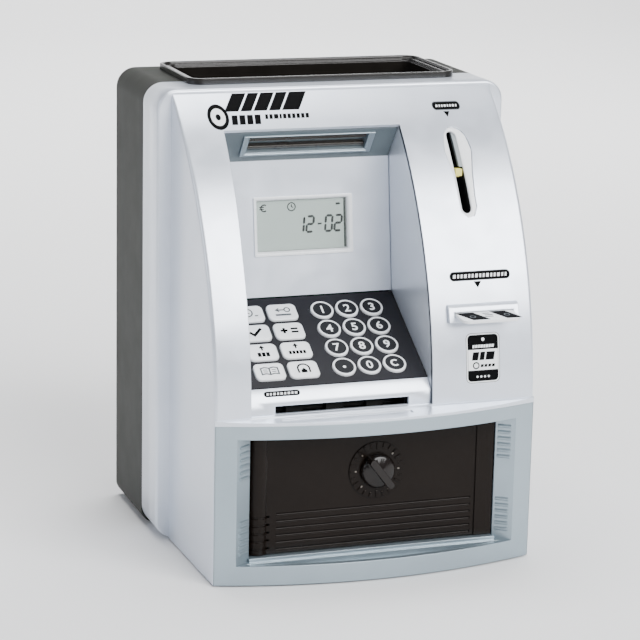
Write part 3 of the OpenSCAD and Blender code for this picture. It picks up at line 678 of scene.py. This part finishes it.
def coinSeat():
    # white insert round the coin slot: slightly sunk, dished to the slot's rim
    turn = np.linspace(0, 2 * math.pi, 160, endpoint=False)
    aim = np.stack([coin["x"] + np.cos(turn), 220 + 2.2 * np.sin(turn)], 1)
    egg, slot = coinOutline(aim, True), coinOutline(aim, False)
    centre = np.array([coin["eggX"], (coin["eggLow"] + coin["eggHigh"]) / 2])
    inner = egg + (centre - egg) * (0.03, 0.006)
    seat = coin["seat"]
    rings = [(inner, 2.0), (inner, seat + 0.25), (inner + (slot - inner) * 0.06, seat),
             (inner + (slot - inner) * 0.5, seat + 0.1), (inner + (slot - inner) * 0.82, seat + 0.25),
             (inner + (slot - inner) * 0.95, seat + 0.5), (slot, seat + 0.9), (slot, 2.0), (inner, 2.0)]
    return loftRings([sunk(ring, deep) for ring, deep in rings])


def cheek(side):
    # plate beside the recess, from just inside the front to behind the panels
    zs = np.linspace(recess["low"] - 1.5, 250.0, 60)
    near = arcY(zs) + 0.9
    far = np.interp(zs, [90, 146, 224, 250], [74, 74, 86, 87])
    y = near[:, None] + (far - near)[:, None] * np.linspace(0, 1, 8)
    x0, x1 = sorted([recess["left"] - body["wall"], recess["left"]] if side < 0
                    else [recess["right"], recess["right"] + body["wall"]])
    flat = np.stack([y * 0 + x0, y, np.repeat(zs[:, None], 8, 1)], -1).reshape(-1, 3)
    n = len(flat)
    faces = [tuple(f[::-1]) for f in quads(60, 8)] + [tuple(f + n) for f in quads(60, 8)]
    rim = [i * 8 for i in range(60)] + [59 * 8 + j for j in range(1, 8)]
    rim += [i * 8 + 7 for i in range(58, -1, -1)] + [j for j in range(6, 0, -1)]
    faces += [(a, b, b + n, a + n) for a, b in zip(rim, rim[1:] + rim[:1])]
    return np.concatenate([flat, flat + (x1 - x0, 0, 0)]), faces


def flange():
    # the wide part behind the front body: a closed ring with a rounded front edge
    half, top, low = body["flangeWidth"] / 2, body["height"], body["foot"]
    y0, y1 = body["frontDepth"], body["seam"] - 0.25
    turn = np.radians(np.linspace(0, 90, 6))
    edge, inward, inside = rim["edge"], rim["inward"], y0 + rim["frontWall"]
    profile = [(inward, y0)] + [(edge * (1 - math.sin(a)), y0 + edge * (1 - math.cos(a))) for a in turn]
    profile += [(0.0, y1 - 0.5), (rim["step"], y1), (body["wall"], y1), (body["wall"], inside),
                (inward, inside), (inward, y0)]
    rings = []
    for inset, y in profile:
        ring = roundedRing(-half + inset, low + inset, half - inset, top - inset,
                           max(body["highRadius"] - inset, 0.4), 10, 48)
        # the roof stops short at the tray's well
        atTray = (np.abs(ring[:, 0]) < rim["trayHalf"]) & (ring[:, 1] > top - 20)
        rings.append(np.stack([ring[:, 0], np.where(atTray, min(y, rim["trayFront"]), y), ring[:, 1]], 1))
    return loftRings(rings)


def flare():
    # the front runs out onto the bowed ledge in a shallow hollow curve; under the note slot it has a groove
    half = body["frontWidth"] / 2
    grooveLeft, grooveRight = recess["mid"] - groove["half"], recess["mid"] + groove["half"]
    xs = steps([-half, grooveLeft, grooveLeft + 0.6, grooveRight - 0.6, grooveRight, half], 3.0)
    curveY, curveRise = np.array(flareRise)[::-1].T
    back = 3.0
    rings = []
    for x in xs:
        out = max(-bowY(x), 0.02)
        y = np.concatenate([np.linspace(-out, 0, 26), [back]])
        z = body["frameTop"] + np.interp(y, curveY, curveRise)
        if grooveLeft < x < grooveRight:
            z -= groove["deep"] * np.clip((1 - np.abs((y - groove["middle"]) / groove["reach"])) * 4, 0, 1)
        low = body["frameTop"] + 0.02
        rings.append([(x, back, low)] + [(x, b, c) for b, c in zip(y[::-1], z[::-1])] + [(x, -out, low)])
    return loftRings(rings, True, True)


makePiece("frontSkin", *frontSkin(), "case", "pearlPaint", "pearl_shell", ("front_shell",), sharp=32,
          thickness=body["wall"], bevel=(0.5, 3, 55))
makePiece("recessCheeks", *join(cheek(-1), cheek(1)), "case", "pearlPaint", "pearl_shell", sharp=40)
makePiece("shellFlange", *flange(), "case", "pearlPaint", "pearl_shell", sharp=40)
makePiece("footFlare", *flare(), "case", "pearlPaint", "pearl_shell", sharp=30)
makePiece("coinSeat", *coinSeat(), "case", "whiteGloss", "key_white", ("coin_bezel",), sharp=40)
print("front shell made")


# moulded parts with softened edges, and the plain finishes of the rest

# node: (body, material, slot, bevel in mm)
softParts = {
    "rear_housing": ("case", "grainedGrey", "rear_grey", 0.6),
    "top_tray": ("case", "smokeStyrene", "smoke_tray", 0.45),
    "safe_frame": ("case", "framePaint", "frame_silver", 0.45),
    "safe_door": ("door", "doorBrown", "door_brown", 0.3),
    "screen_panel": ("case", "pearlPaint", "pearl_shell", 0.4),
    "note_feeder_face": ("case", "pearlPaint", "pearl_shell", 0.35),
    "dispenser_bezel": ("case", "framePaint", "inner_grey", 0.3),
    "dispenser_flaps": ("case", "flapBrown", "smoke_tray", 0.5),
    "keypad_plate": ("case", "charcoalPlate", "keypad_charcoal", 0.2),
    "card_bezel": ("case", "pearlPaint", "key_white", 0.45),
    "battery_cover": ("cover", "grainedGrey", "rear_grey", 0.3),
    "coin_lever": ("lever", "yellowAcetal", "lever_yellow", 0.3),
    "security_card": ("card", "whiteGloss", "card_white", 0.25),
    "dial_knob": ("dial", "knobBrown", "door_brown", 0.35),
}
# node: material
plainParts = {
    "hinge_pin": "steel", "dial_plate": "doorBrown", "latch_tongue": "steel", "money_box": "innerGrey",
    "lcd_lens": "window", "lcd_module": "crystal", "key_mat": "greySilicone", "keypad_board": "board",
    "coin_chute": "mechanismBlack", "card_switch": "mechanismBlack", "feeder_frame": "mechanismBlack",
    "feed_motor": "steel", "motor_pulley": "whiteGloss", "drive_belt": "blackRubber",
    "feed_roller": "blackRubber", "pinch_roller": "innerGrey", "main_board": "board",
    "speaker": "mechanismBlack", "battery_box": "mechanismBlack", "batteries": "cell", "case_screws": "steel",
    "rubber_feet": "blackRubber",
}


def finishPlain(node, material):
    # a CAD node kept as it is, in its finish
    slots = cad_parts[node].material_slots
    if not slots:
        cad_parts[node].data.materials.append(look[material])
    for entry in slots:
        entry.link = "OBJECT"
        entry.material = look[material]


def paintShadeAbove(piece, material, level):
    # second material on the faces whose middles lie above this height in mm, used for painted shade
    piece.data.materials.append(look[material])
    for face in piece.data.polygons:
        if face.center.z / mm > level:
            face.material_index = 1


soft = {node: softened(node, bodyName, material, (width, 2))
        for node, (bodyName, material, slotName, width) in softParts.items()}
# the recess's ceiling, above 223.6 mm, takes the painted shade
paintShadeAbove(soft["screen_panel"], "ceilingShadePaint", 223.6)
for node, material in plainParts.items():
    finishPlain(node, material)
print("moulded parts finished")


# flat shapes for printing: points (x, 0, z), faces that look towards -Y

def stroke(points, width, closed=False):
    # line of even width through (x, z) points
    p = np.asarray(points, float)
    ahead = np.roll(p, -1, 0) - p
    if not closed:
        ahead[-1] = ahead[-2]
    behind = np.roll(ahead, 1, 0)
    if not closed:
        behind[0] = ahead[0]
    ahead /= np.linalg.norm(ahead, axis=1)[:, None]
    behind /= np.linalg.norm(behind, axis=1)[:, None]
    along = ahead + behind
    along /= np.linalg.norm(along, axis=1)[:, None]
    reach = width / 2 / np.clip((along * ahead).sum(1), 0.4, 1)
    side = np.stack([-along[:, 1], along[:, 0]], 1) * reach[:, None]
    rails = np.stack([p + side, p - side], 1)
    points3 = np.stack([rails[..., 0], rails[..., 0] * 0, rails[..., 1]], -1).reshape(-1, 3)
    return points3, [tuple(f[::-1]) for f in quads(len(p), 2, closeRows=closed)]


def circle(x, z, radius, start=0, end=360, steps=28):
    turn = np.radians(np.linspace(start, end, steps + 1))
    return np.stack([x + radius * np.cos(turn), z + radius * np.sin(turn)], 1)


def ringShape(x, z, radius, width):
    return stroke(circle(x, z, radius)[:-1], width, closed=True)


def disc(x, z, radius):
    return fan(circle(x, z, radius)[:-1])


def fan(outline):
    # one flat face from an anticlockwise (x, z) outline
    p = np.asarray(outline, float)
    return np.stack([p[:, 0], p[:, 0] * 0, p[:, 1]], 1), [tuple(range(len(p)))]


def leaning(x0, x1, z0, z1, lean=0.35, rows=5):
    # parallelogram that leans right by this share of its height
    zs = np.linspace(z0, z1, rows)
    return rowShape(zs, zs * 0 + (x1 - x0) / 2, (x0 + x1) / 2 + lean * (zs - (z0 + z1) / 2), 9)


def numeral(text, height):
    # outline of a numeral from the program's own plain font, as a flat face set about its middle
    curve = bpy.data.curves.new("numeral", "FONT")
    curve.body = text
    curve.offset = 0.018
    curve.resolution_u = 4
    holder = bpy.data.objects.new("numeral", curve)
    mesh = bpy.data.meshes.new_from_object(holder)
    points = np.array([v.co[:2] for v in mesh.vertices])
    faces = [tuple(f.vertices) if f.normal.z > 0 else tuple(f.vertices)[::-1] for f in mesh.polygons]
    bpy.data.objects.remove(holder)
    points = (points - (points.min(0) + points.max(0)) / 2) * height / np.ptp(points[:, 1])
    return np.stack([points[:, 0], points[:, 0] * 0, points[:, 1]], 1), faces


def moved(shape, x, z):
    return shape[0] + (x, 0, z), shape[1]


def laidOn(shape, place, lift):
    # flat shape put on a face given by its place function, lifted off it
    p = np.asarray(shape[0], float)
    return place(np.stack([p[:, 0], p[:, 2], p[:, 0] * 0 + lift], 1)), shape[1]


def onFront(shape, lift):
    return onArc(np.asarray(shape[0], float), lift), shape[1]


def printed(name, shapes, material, slotName, bodyName="case"):
    # one ink layer, or a painted shadow where a layer holds one: its shapes are thin sheets, kept as they face
    return makePiece(name, *join(*shapes), bodyName, material, slotName, sharp=60, outward=False)


# keys

keys = {
    "proud": 1.2, "radius": 6.8, "ring": 5.6, "x": 1.1, "s": 11.9, "pitchX": 15.1, "pitchS": 15.27,
    "wideX": (-58.0, -38.1), "wide": 17.6, "high": 12.7, "corner": 3.2, "numeral": 5.9,
}
numberKeys = ["dot", "0", "clear", "7", "8", "9", "4", "5", "6", "1", "2", "3"]
wideKeys = ["book", "home", "day", "month", "set", "sum", "clock", "card"]


def numberKey():
    # rim, then a floor a little lower that takes the dark print
    r, ring, top = keys["radius"], keys["ring"], keys["proud"]
    return lathe([(0, -3.2), (r - 0.2, -3.2), (r, -3.0), (r, top - 0.75), (r - 0.12, top - 0.35),
                  (r - 0.4, top - 0.1), (r - 0.75, top), (ring + 0.25, top), (ring + 0.08, top - 0.06),
                  (ring, top - 0.3), (0, top - 0.34)], 56)


def wideKey():
    w, h, top, corner = keys["wide"] / 2, keys["high"] / 2, keys["proud"], keys["corner"]
    rings = []
    for inset, n in [(0.3, -3.2), (0, -3.0), (0, top - 0.8), (0.12, top - 0.4), (0.45, top - 0.1), (0.9, top),
                     (2.2, top - 0.02)]:
        ring = roundedRing(-w + inset, -h + inset, w - inset, h - inset, max(corner - inset, 0.6), 8, 4)
        rings.append(np.column_stack([ring, np.full(len(ring), n)]))
    return loftRings(rings, True, True)


def wideMark(name):
    # generic pictogram of a wide key, about its middle
    arrow = join(stroke([(0, 0.9), (0, 4.0)], 1.0), fan([(-1.7, 2.7), (1.7, 2.7), (0, 4.9)]))
    if name == "clock":
        return join(ringShape(-1.2, 0.6, 3.1, 0.85), stroke([(-1.2, 2.6), (-1.2, 0.6), (0.3, -0.3)], 0.8),
                    stroke([(3.0, -2.0), (4.9, -2.0)], 0.9))
    if name == "card":
        return join(ringShape(3.0, 1.3, 1.6, 0.8), stroke([(-3.4, 1.3), (1.2, 1.3)], 0.9),
                    stroke([(-1.8, 2.6), (-3.6, 1.3), (-1.8, 0.0)], 0.8),
                    stroke([(-4.6, -2.6), (4.6, -2.6)], 1.4))
    if name == "set":
        return stroke([(-3.6, 0.3), (-1.2, -2.3), (3.6, 2.9)], 1.7)
    if name == "sum":
        return join(stroke([(-5.2, 0), (-1.0, 0)], 1.5), stroke([(-3.1, -2.1), (-3.1, 2.1)], 1.5),
                    stroke([(1.0, 1.2), (5.2, 1.2)], 1.4), stroke([(1.0, -1.3), (5.2, -1.3)], 1.4))
    if name == "day":
        return join(arrow, *[leaning(x - 1.0, x + 1.0, -3.9, -0.7, 0, 3) for x in (-2.5, 0, 2.5)])
    if name == "month":
        return join(arrow, *[leaning(x - 0.8, x + 0.8, -3.4, -0.9, 0, 3) for x in (-4.2, -2.1, 0, 2.1, 4.2)])
    if name == "book":
        page = [(0, -2.6), (2.6, -1.9), (4.9, -2.4), (4.9, 2.3), (2.6, 2.9), (0, 2.2)]
        return join(stroke(page, 0.9, True), stroke([(-x, z) for x, z in page[::-1]], 0.9, True),
                    stroke([(1.2, 0.9), (3.8, 1.1)], 0.6), stroke([(1.2, -0.6), (3.8, -0.4)], 0.6),
                    stroke([(-3.8, 1.1), (-1.2, 0.9)], 0.6), stroke([(-3.8, -0.4), (-1.2, -0.6)], 0.6))
    return join(stroke(np.concatenate([[(3.2, -2.9)], circle(0, 0.2, 3.4, -10, 190, 20), [(-3.2, -2.9)]]), 1.0),
                fan([(-1.7, -2.9), (1.7, -2.9), (1.7, -1.1), (0, 0.7), (-1.7, -1.1)]))


def keyCap(name, cap, middle):
    # the moulded cap of a key, on its own body
    node = "key_" + name
    makePiece("key" + name, onKeypad(cap[0] + middle), cap[1], node + "_button", "whiteGloss", "key_white",
              (node,), sharp=40)


def keyPrint(name, suffix, flat, middle, lift, ink):
    # one ink layer on a key
    printed("key" + name + suffix, [laidOn(moved(flat, *middle[:2]), onKeypad, lift)], ink, "key_white",
            "key_" + name + "_button")


def makeKeys():
    floor = keys["proud"] - 0.3
    for k, name in enumerate(numberKeys):
        middle = (keys["x"] + (k % 3 - 1) * keys["pitchX"], keys["s"] + k // 3 * keys["pitchS"], 0)
        keyCap(name, numberKey(), middle)
        keyPrint(name, "Ground", disc(0, 0, keys["ring"] - 0.06), middle, floor, "keyInk")
        if name == "dot":
            mark = disc(0, -0.4, 0.95)
        elif name == "clear":
            mark = stroke(circle(0.2, 0, 2.1, 48, 312, 20), 1.05)
        else:
            mark = numeral(name, keys["numeral"])
        keyPrint(name, "Mark", mark, middle, floor + 0.04, "whiteInk")
    for k, name in enumerate(wideKeys):
        middle = (keys["wideX"][k % 2], keys["s"] + k // 2 * keys["pitchS"], 0)
        keyCap(name, wideKey(), middle)
        ink = "greyInk" if name in ("clock", "card", "book") else "blackInk"
        keyPrint(name, "Mark", wideMark(name), middle, keys["proud"] + 0.04, ink)


makeKeys()
print("keys made")


# display

lcd = {
    "digitHigh": 8.9, "digitWide": 4.0, "barWidth": 1.4, "lean": 0.1, "middle": 40.7, "face": -1.72,
    "outer": (-50.3, 23.4, 9.6, 57.6), "inner": (-48.1, 26.1, 6.4, 55.3), "rim": 1.1,
}
# which of the seven bars each figure lights: top, upper right, lower right, bottom, lower left,
# upper left, middle
figures = {"1": "0110000", "2": "1101101", "0": "1111110"}
readout = [("1", -21.4), ("2", -15.6), ("0", -4.2), ("2", 1.5)]


def figureBars(lit, x):
    w, h, t = lcd["digitWide"] / 2, lcd["digitHigh"] / 2, lcd["barWidth"]
    corner = {"a": (-w, h), "b": (w, h), "c": (w, 0), "d": (w, -h), "e": (-w, -h), "f": (-w, 0)}
    ends = ["ab", "bc", "cd", "ed", "fe", "af", "fc"]
    bars = []
    for on, pair in zip(lit, ends):
        if on == "0":
            continue
        p, q = (np.array(corner[c], float) for c in pair)
        along = (q - p) / np.linalg.norm(q - p)
        side = np.array([-along[1], along[0]]) * t / 2
        p, q = p + along * 0.08, q - along * 0.08
        tip = along * t / 2
        outline = np.array([p, p + tip - side, q - tip - side, q, q - tip + side, p + tip + side])
        outline[:, 0] += lcd["lean"] * outline[:, 1] + x
        outline[:, 1] += lcd["middle"]
        bars.append(fan(outline))
    return bars


def displayMarksAndShadow():
    bars = [bar for figure, x in readout for bar in figureBars(figures[figure], x)]
    bars.append(leaning(-11.0, -8.6, 40.2, 41.2, 0, 2))
    bars.append(stroke(circle(-43.2, 51.0, 1.9, 50, 310, 18), 0.75))
    bars += [stroke([(-46.0, 51.6), (-43.2, 51.6)], 0.6), stroke([(-46.0, 50.4), (-43.4, 50.4)], 0.6)]
    bars += [ringShape(-26.7, 51.2, 2.3, 0.65), stroke([(-26.7, 52.6), (-26.7, 51.2), (-25.6, 50.8)], 0.6)]
    bars += [leaning(0.2, 2.6, 51.2, 52.4, 0, 2), leaning(2.6, 3.1, 51.5, 52.1, 0, 2)]
    s0, x1, s1 = lcd["inner"][1:]
    bars.append(leaning(x1 - 1.5, x1 - 0.4, s0 + 0.6, s1 - 0.5, 0, 9))      # painted shadow along the window's right inner edge
    return [laidOn(bar, onScreen, lcd["face"]) for bar in bars]


def displayFrame():
    # raised rim whose inner sides slope down to the window
    def ring(box, grow, n, corner):
        x0, s0, x1, s1 = box
        flat = roundedRing(x0 - grow, s0 - grow, x1 + grow, s1 + grow, corner, 4, 6)
        return onScreen(np.column_stack([flat, np.full(len(flat), n)]))
    outer, inner, rim = lcd["outer"], lcd["inner"], lcd["rim"]
    turns = [(outer, 0, -0.1, 0.9), (outer, 0, rim - 0.35, 0.9), (outer, -0.12, rim - 0.1, 0.8),
             (outer, -0.4, rim, 0.7), (inner, 1.15, rim, 0.6), (inner, 0.9, rim - 0.12, 0.5),
             (inner, 0.05, -0.25, 0.4), (inner, 0, -0.5, 0.4), (inner, 0, -3.0, 0.4),
             (inner, 0.9, -3.0, 0.5), (inner, 0.9, -0.1, 0.5), (outer, 0, -0.1, 0.9)]
    return loftRings([ring(*turn) for turn in turns])


# display segments and icons, with a painted shadow strip along the window's right inner edge
printed("displayMarksAndShadow", displayMarksAndShadow(), "segmentGrey", "lcd_grey")
makePiece("displayFrame", *displayFrame(), "case", "whiteGloss", "pearl_shell", ("lcd_bezel",), sharp=30)
print("display made")


# dial ticks, coin guide, springs

dial = {"x": 2.0, "z": 59.0, "inner": 12.2, "outer": 16.0, "ticks": 24, "face": 4.05}


def dialTicks():
    # short raised bars round the knob, each narrowing to its top
    parts = []
    for k in range(dial["ticks"]):
        angle = 2 * math.pi * k / dial["ticks"]
        ray = np.array([math.cos(angle), math.sin(angle)])
        near = dial["inner"] + (0.0 if k % 3 == 0 else 1.2)
        line = np.array([ray * near, ray * dial["outer"]]) + (dial["x"], dial["z"])
        flat = stroke(line, 0.9)[0][[0, 2, 3, 1]]
        middle = np.array([line[:, 0].mean(), 0, line[:, 1].mean()])
        top = middle + (flat - middle) * 0.85
        parts.append(loftRings([ring + (0, dial["face"] + deep, 0)
                                for ring, deep in ((flat, 0.1), (flat, -0.2), (top, -0.35))], False, True))
    return join(*parts)


def coinGuide():
    # light strip on the right wall behind the upper half of the slot
    zs = np.linspace(222.2, 239.6, 16)
    x0, x1 = coin["x"] + coin["width"] / 2 - 1.9, coin["x"] + coin["width"] / 2 + 0.6
    corners = [(x0, -2.2), (x1, -1.4), (x1, -4.4), (x0, -4.4)]
    rings = [[onArc([[x, 0, z]], lift)[0] for x, lift in corners] for z in zs]
    return loftRings(rings, True, True)


springs = {"from": 26.9, "run": 4.6, "y": 163.2, "radius": 3.3, "grows": 1.7, "turns": 4, "wire": 0.45,
           "plate": 31.9}


def coilSpring(side, z):
    # conical spring of round wire and its contact plate: along x it runs 4.6 mm evenly in four turns,
    # and its radius grows evenly from 3.3 mm to 5.0 mm
    t = np.linspace(0, springs["turns"] * 2 * math.pi, 200)
    radius = springs["radius"] + springs["grows"] * t / t[-1]
    x = side * (springs["from"] + springs["run"] * t / t[-1])
    line = np.stack([x, springs["y"] + radius * np.cos(t), z + radius * np.sin(t)], 1)
    ahead = np.gradient(line, axis=0)
    ahead /= np.linalg.norm(ahead, axis=1)[:, None]
    one = np.cross(ahead, (1.0, 0, 0))
    one /= np.linalg.norm(one, axis=1)[:, None]
    two = np.cross(ahead, one)
    turn = np.linspace(0, 2 * math.pi, 11)[:-1]
    c, s = np.cos(turn)[:, None], np.sin(turn)[:, None]
    rings = [p + springs["wire"] * (c * a + s * b) for p, a, b in zip(line, one, two)]
    plate, plateFaces = lathe([(0, 0), (5.3, 0), (5.5, 0.15), (5.5, 0.5), (0, 0.6)], 40)
    plate = np.stack([side * (springs["plate"] + plate[:, 2]), springs["y"] + plate[:, 0], z + plate[:, 1]], 1)
    return join(loftRings(rings, True, True), (plate, plateFaces))


# the ticks' lighter brown is painted highlight
makePiece("dialTicks", *dialTicks(), "door", "tickBrown", "door_brown", sharp=30)
makePiece("coinGuide", *coinGuide(), "case", "innerGrey", "inner_grey", sharp=40)
makePiece("coilSprings", *join(coilSpring(1, 38), coilSpring(-1, 22), coilSpring(-1, 54)), "case", "spring",
          "spring_brass", ("battery_springs",), sharp=40)
print("small parts made")


# printing on the front, the strip and the card

graphics = {"base": 0.05, "over": 0.1, "top": 0.15}          # lifts off the face, mm


def pill(x0, x1, z0, z1):
    return roundedRows(x1 - x0, z1 - z0, (z1 - z0) / 2 * 0.98, ((x0 + x1) / 2, (z0 + z1) / 2), 15)


def dashes(x0, x1, z0, z1, widths, gap):
    # row of small leaning blocks
    total = sum(widths) + gap * (len(widths) - 1)
    share = (x1 - x0) / total
    out, x = [], x0
    for w in widths:
        out.append(leaning(x, x + w * share, z0, z1, 0.18, 3))
        x += (w + gap) * share
    return out


def triangle(x, z, half, high):
    return rowShape(np.linspace(z - high, z, 5), np.linspace(0.02, half, 5), x, 5)


def frontPrint():
    black, white, grey = [], [], []
    base, over, top = graphics["base"], graphics["over"], graphics["top"]
    # emblem: a row of bold leaning blocks, a coin ring before them, small bars below
    for x0, x1 in ((-65.5, -57.2), (-56.0, -49.6), (-48.4, -40.4), (-39.2, -32.6), (-31.4, -21.2)):
        black.append(onFront(leaning(x0, x1, 254.0, 262.6, 0.85, 7), base))
    black.append(onFront(ringShape(-73.5, 251.6, 5.2, 2.0), base))
    white.append(onFront(disc(-73.5, 251.6, 4.2), over))
    black.append(onFront(disc(-73.5, 251.6, 1.5), top))
    for shape in dashes(-66.0, -49.0, 247.6, 252.2, (3.4, 3.4, 3.4, 3.4), 1.0):
        black.append(onFront(shape, base))
    for shape in dashes(-46.0, -20.0, 249.9, 252.2, (1.6, 1.8, 2.4, 1.2, 1.8, 1.8, 1.8, 1.8, 1.8, 1.8), 0.7):
        black.append(onFront(shape, base))
    # slot signs
    for x0, x1, z0, z1, point in ((56.2, 72.8, 251.6, 255.2, (63.6, 250.6, 1.9, 2.8)),
                                  (46.3, 82.6, 163.8, 168.2, (62.6, 163.0, 2.4, 3.6))):
        grey.append(onFront(pill(x0 - 0.35, x1 + 0.35, z0 - 0.35, z1 + 0.35), base))
        black.append(onFront(pill(x0, x1, z0, z1), over))
        count = 8 if x1 - x0 < 20 else 15
        widths = [1.0 + 0.5 * ((k * 7) % 3 == 0) for k in range(count)]
        for shape in dashes(x0 + 1.8, x1 - 1.8, z0 + 1.25, z1 - 1.25, widths, 0.9):
            white.append(onFront(shape, top))
        black.append(onFront(triangle(*point), base))
    # sticker: white edge, black ground, white band with leaning blocks, dots
    grey.append(onFront(roundedRows(20.6, 28.2, 3.0, (63.5, 120.7), 9), base * 0.7))
    white.append(onFront(roundedRows(20.0, 27.6, 2.8, (63.5, 120.7), 9), base))
    black.append(onFront(roundedRows(18.6, 26.2, 2.2, (63.5, 120.7), 9), over))
    white.append(onFront(leaning(54.4, 72.6, 113.9, 125.6, 0, 9), top))
    white.append(onFront(disc(63.6, 131.2, 0.95), top))
    for shape in dashes(57.2, 70.2, 126.6, 128.2, (1.2, 1.6, 1.2, 1.6, 1.2, 1.6, 1.2, 1.6), 0.3):
        white.append(onFront(shape, top))
    for shape in dashes(57.0, 70.4, 119.6, 124.2, (3.4, 2.6, 4.6), 0.7):
        black.append(onFront(shape, top + 0.05))
    black.append(onFront(ringShape(59.2, 116.6, 1.7, 0.7), top + 0.05))
    for shape in dashes(62.0, 70.6, 115.6, 117.2, (1.6, 1.6, 1.6, 1.6), 0.5):
        black.append(onFront(shape, top + 0.05))
    for k in range(4):
        white.append(onFront(disc(60.0 + 2.3 * k, 110.2, 0.62), top))
    return black, white, grey


def onFeeder(points):
    return tilted(points, recess["feedTop"], recess["strip"])


def onCard(points):
    # the card's top face: x across, y in along the card, z up
    p = np.asarray(points, float)
    s, c = math.sin(math.radians(cardSlot["tilt"])), math.cos(math.radians(cardSlot["tilt"]))
    y, z = p[:, 1] * c - p[:, 2] * s, cardSlot["height"] + p[:, 1] * s + p[:, 2] * c
    return np.stack([p[:, 0] + cardSlot["x"], y, z], 1)


def cardPrint():
    black, grey = [], []
    for x0, x1 in ((-14.5, -4.0), (6.0, 15.5)):
        black.append(laidOn(leaning(x0, x1, -7.2, 4.6, -0.55, 3), onCard, 0.43))
    for k, (x0, x1) in enumerate(((-2.6, 2.4), (-1.8, 3.2), (-2.2, 2.0))):
        grey.append(laidOn(leaning(x0, x1, -3.4 + 2.5 * k, -2.2 + 2.5 * k, -0.4, 2), onCard, 0.43))
    grey.append(laidOn(ringShape(-9.6, -2.0, 1.5, 0.6), onCard, 0.46))
    grey.append(laidOn(ringShape(11.2, -1.6, 1.5, 0.6), onCard, 0.46))
    return black, grey


black, white, grey = frontPrint()
strip = [laidOn(pill(-65.2, -44.2, 2.2, 5.6), onFeeder, 0.06)]
stripDashes = [laidOn(shape, onFeeder, 0.1) for shape in
               dashes(-63.6, -45.8, 3.2, 4.6, (1.2, 1.2, 1.6, 1.2, 1.6, 1.2, 1.6, 1.2, 1.6), 0.9)]
printed("blackPrint", black + strip, "blackInk", "dark_plastic")
printed("whitePrint", white + stripDashes, "whiteInk", "key_white")
printed("greyPrint", grey, "greyInk", "inner_grey")
cardBlack, cardGrey = cardPrint()
printed("cardBlackPrint", cardBlack, "blackInk", "card_white", "card")
printed("cardGreyPrint", cardGrey, "greyInk", "card_white", "card")
print("printing done")
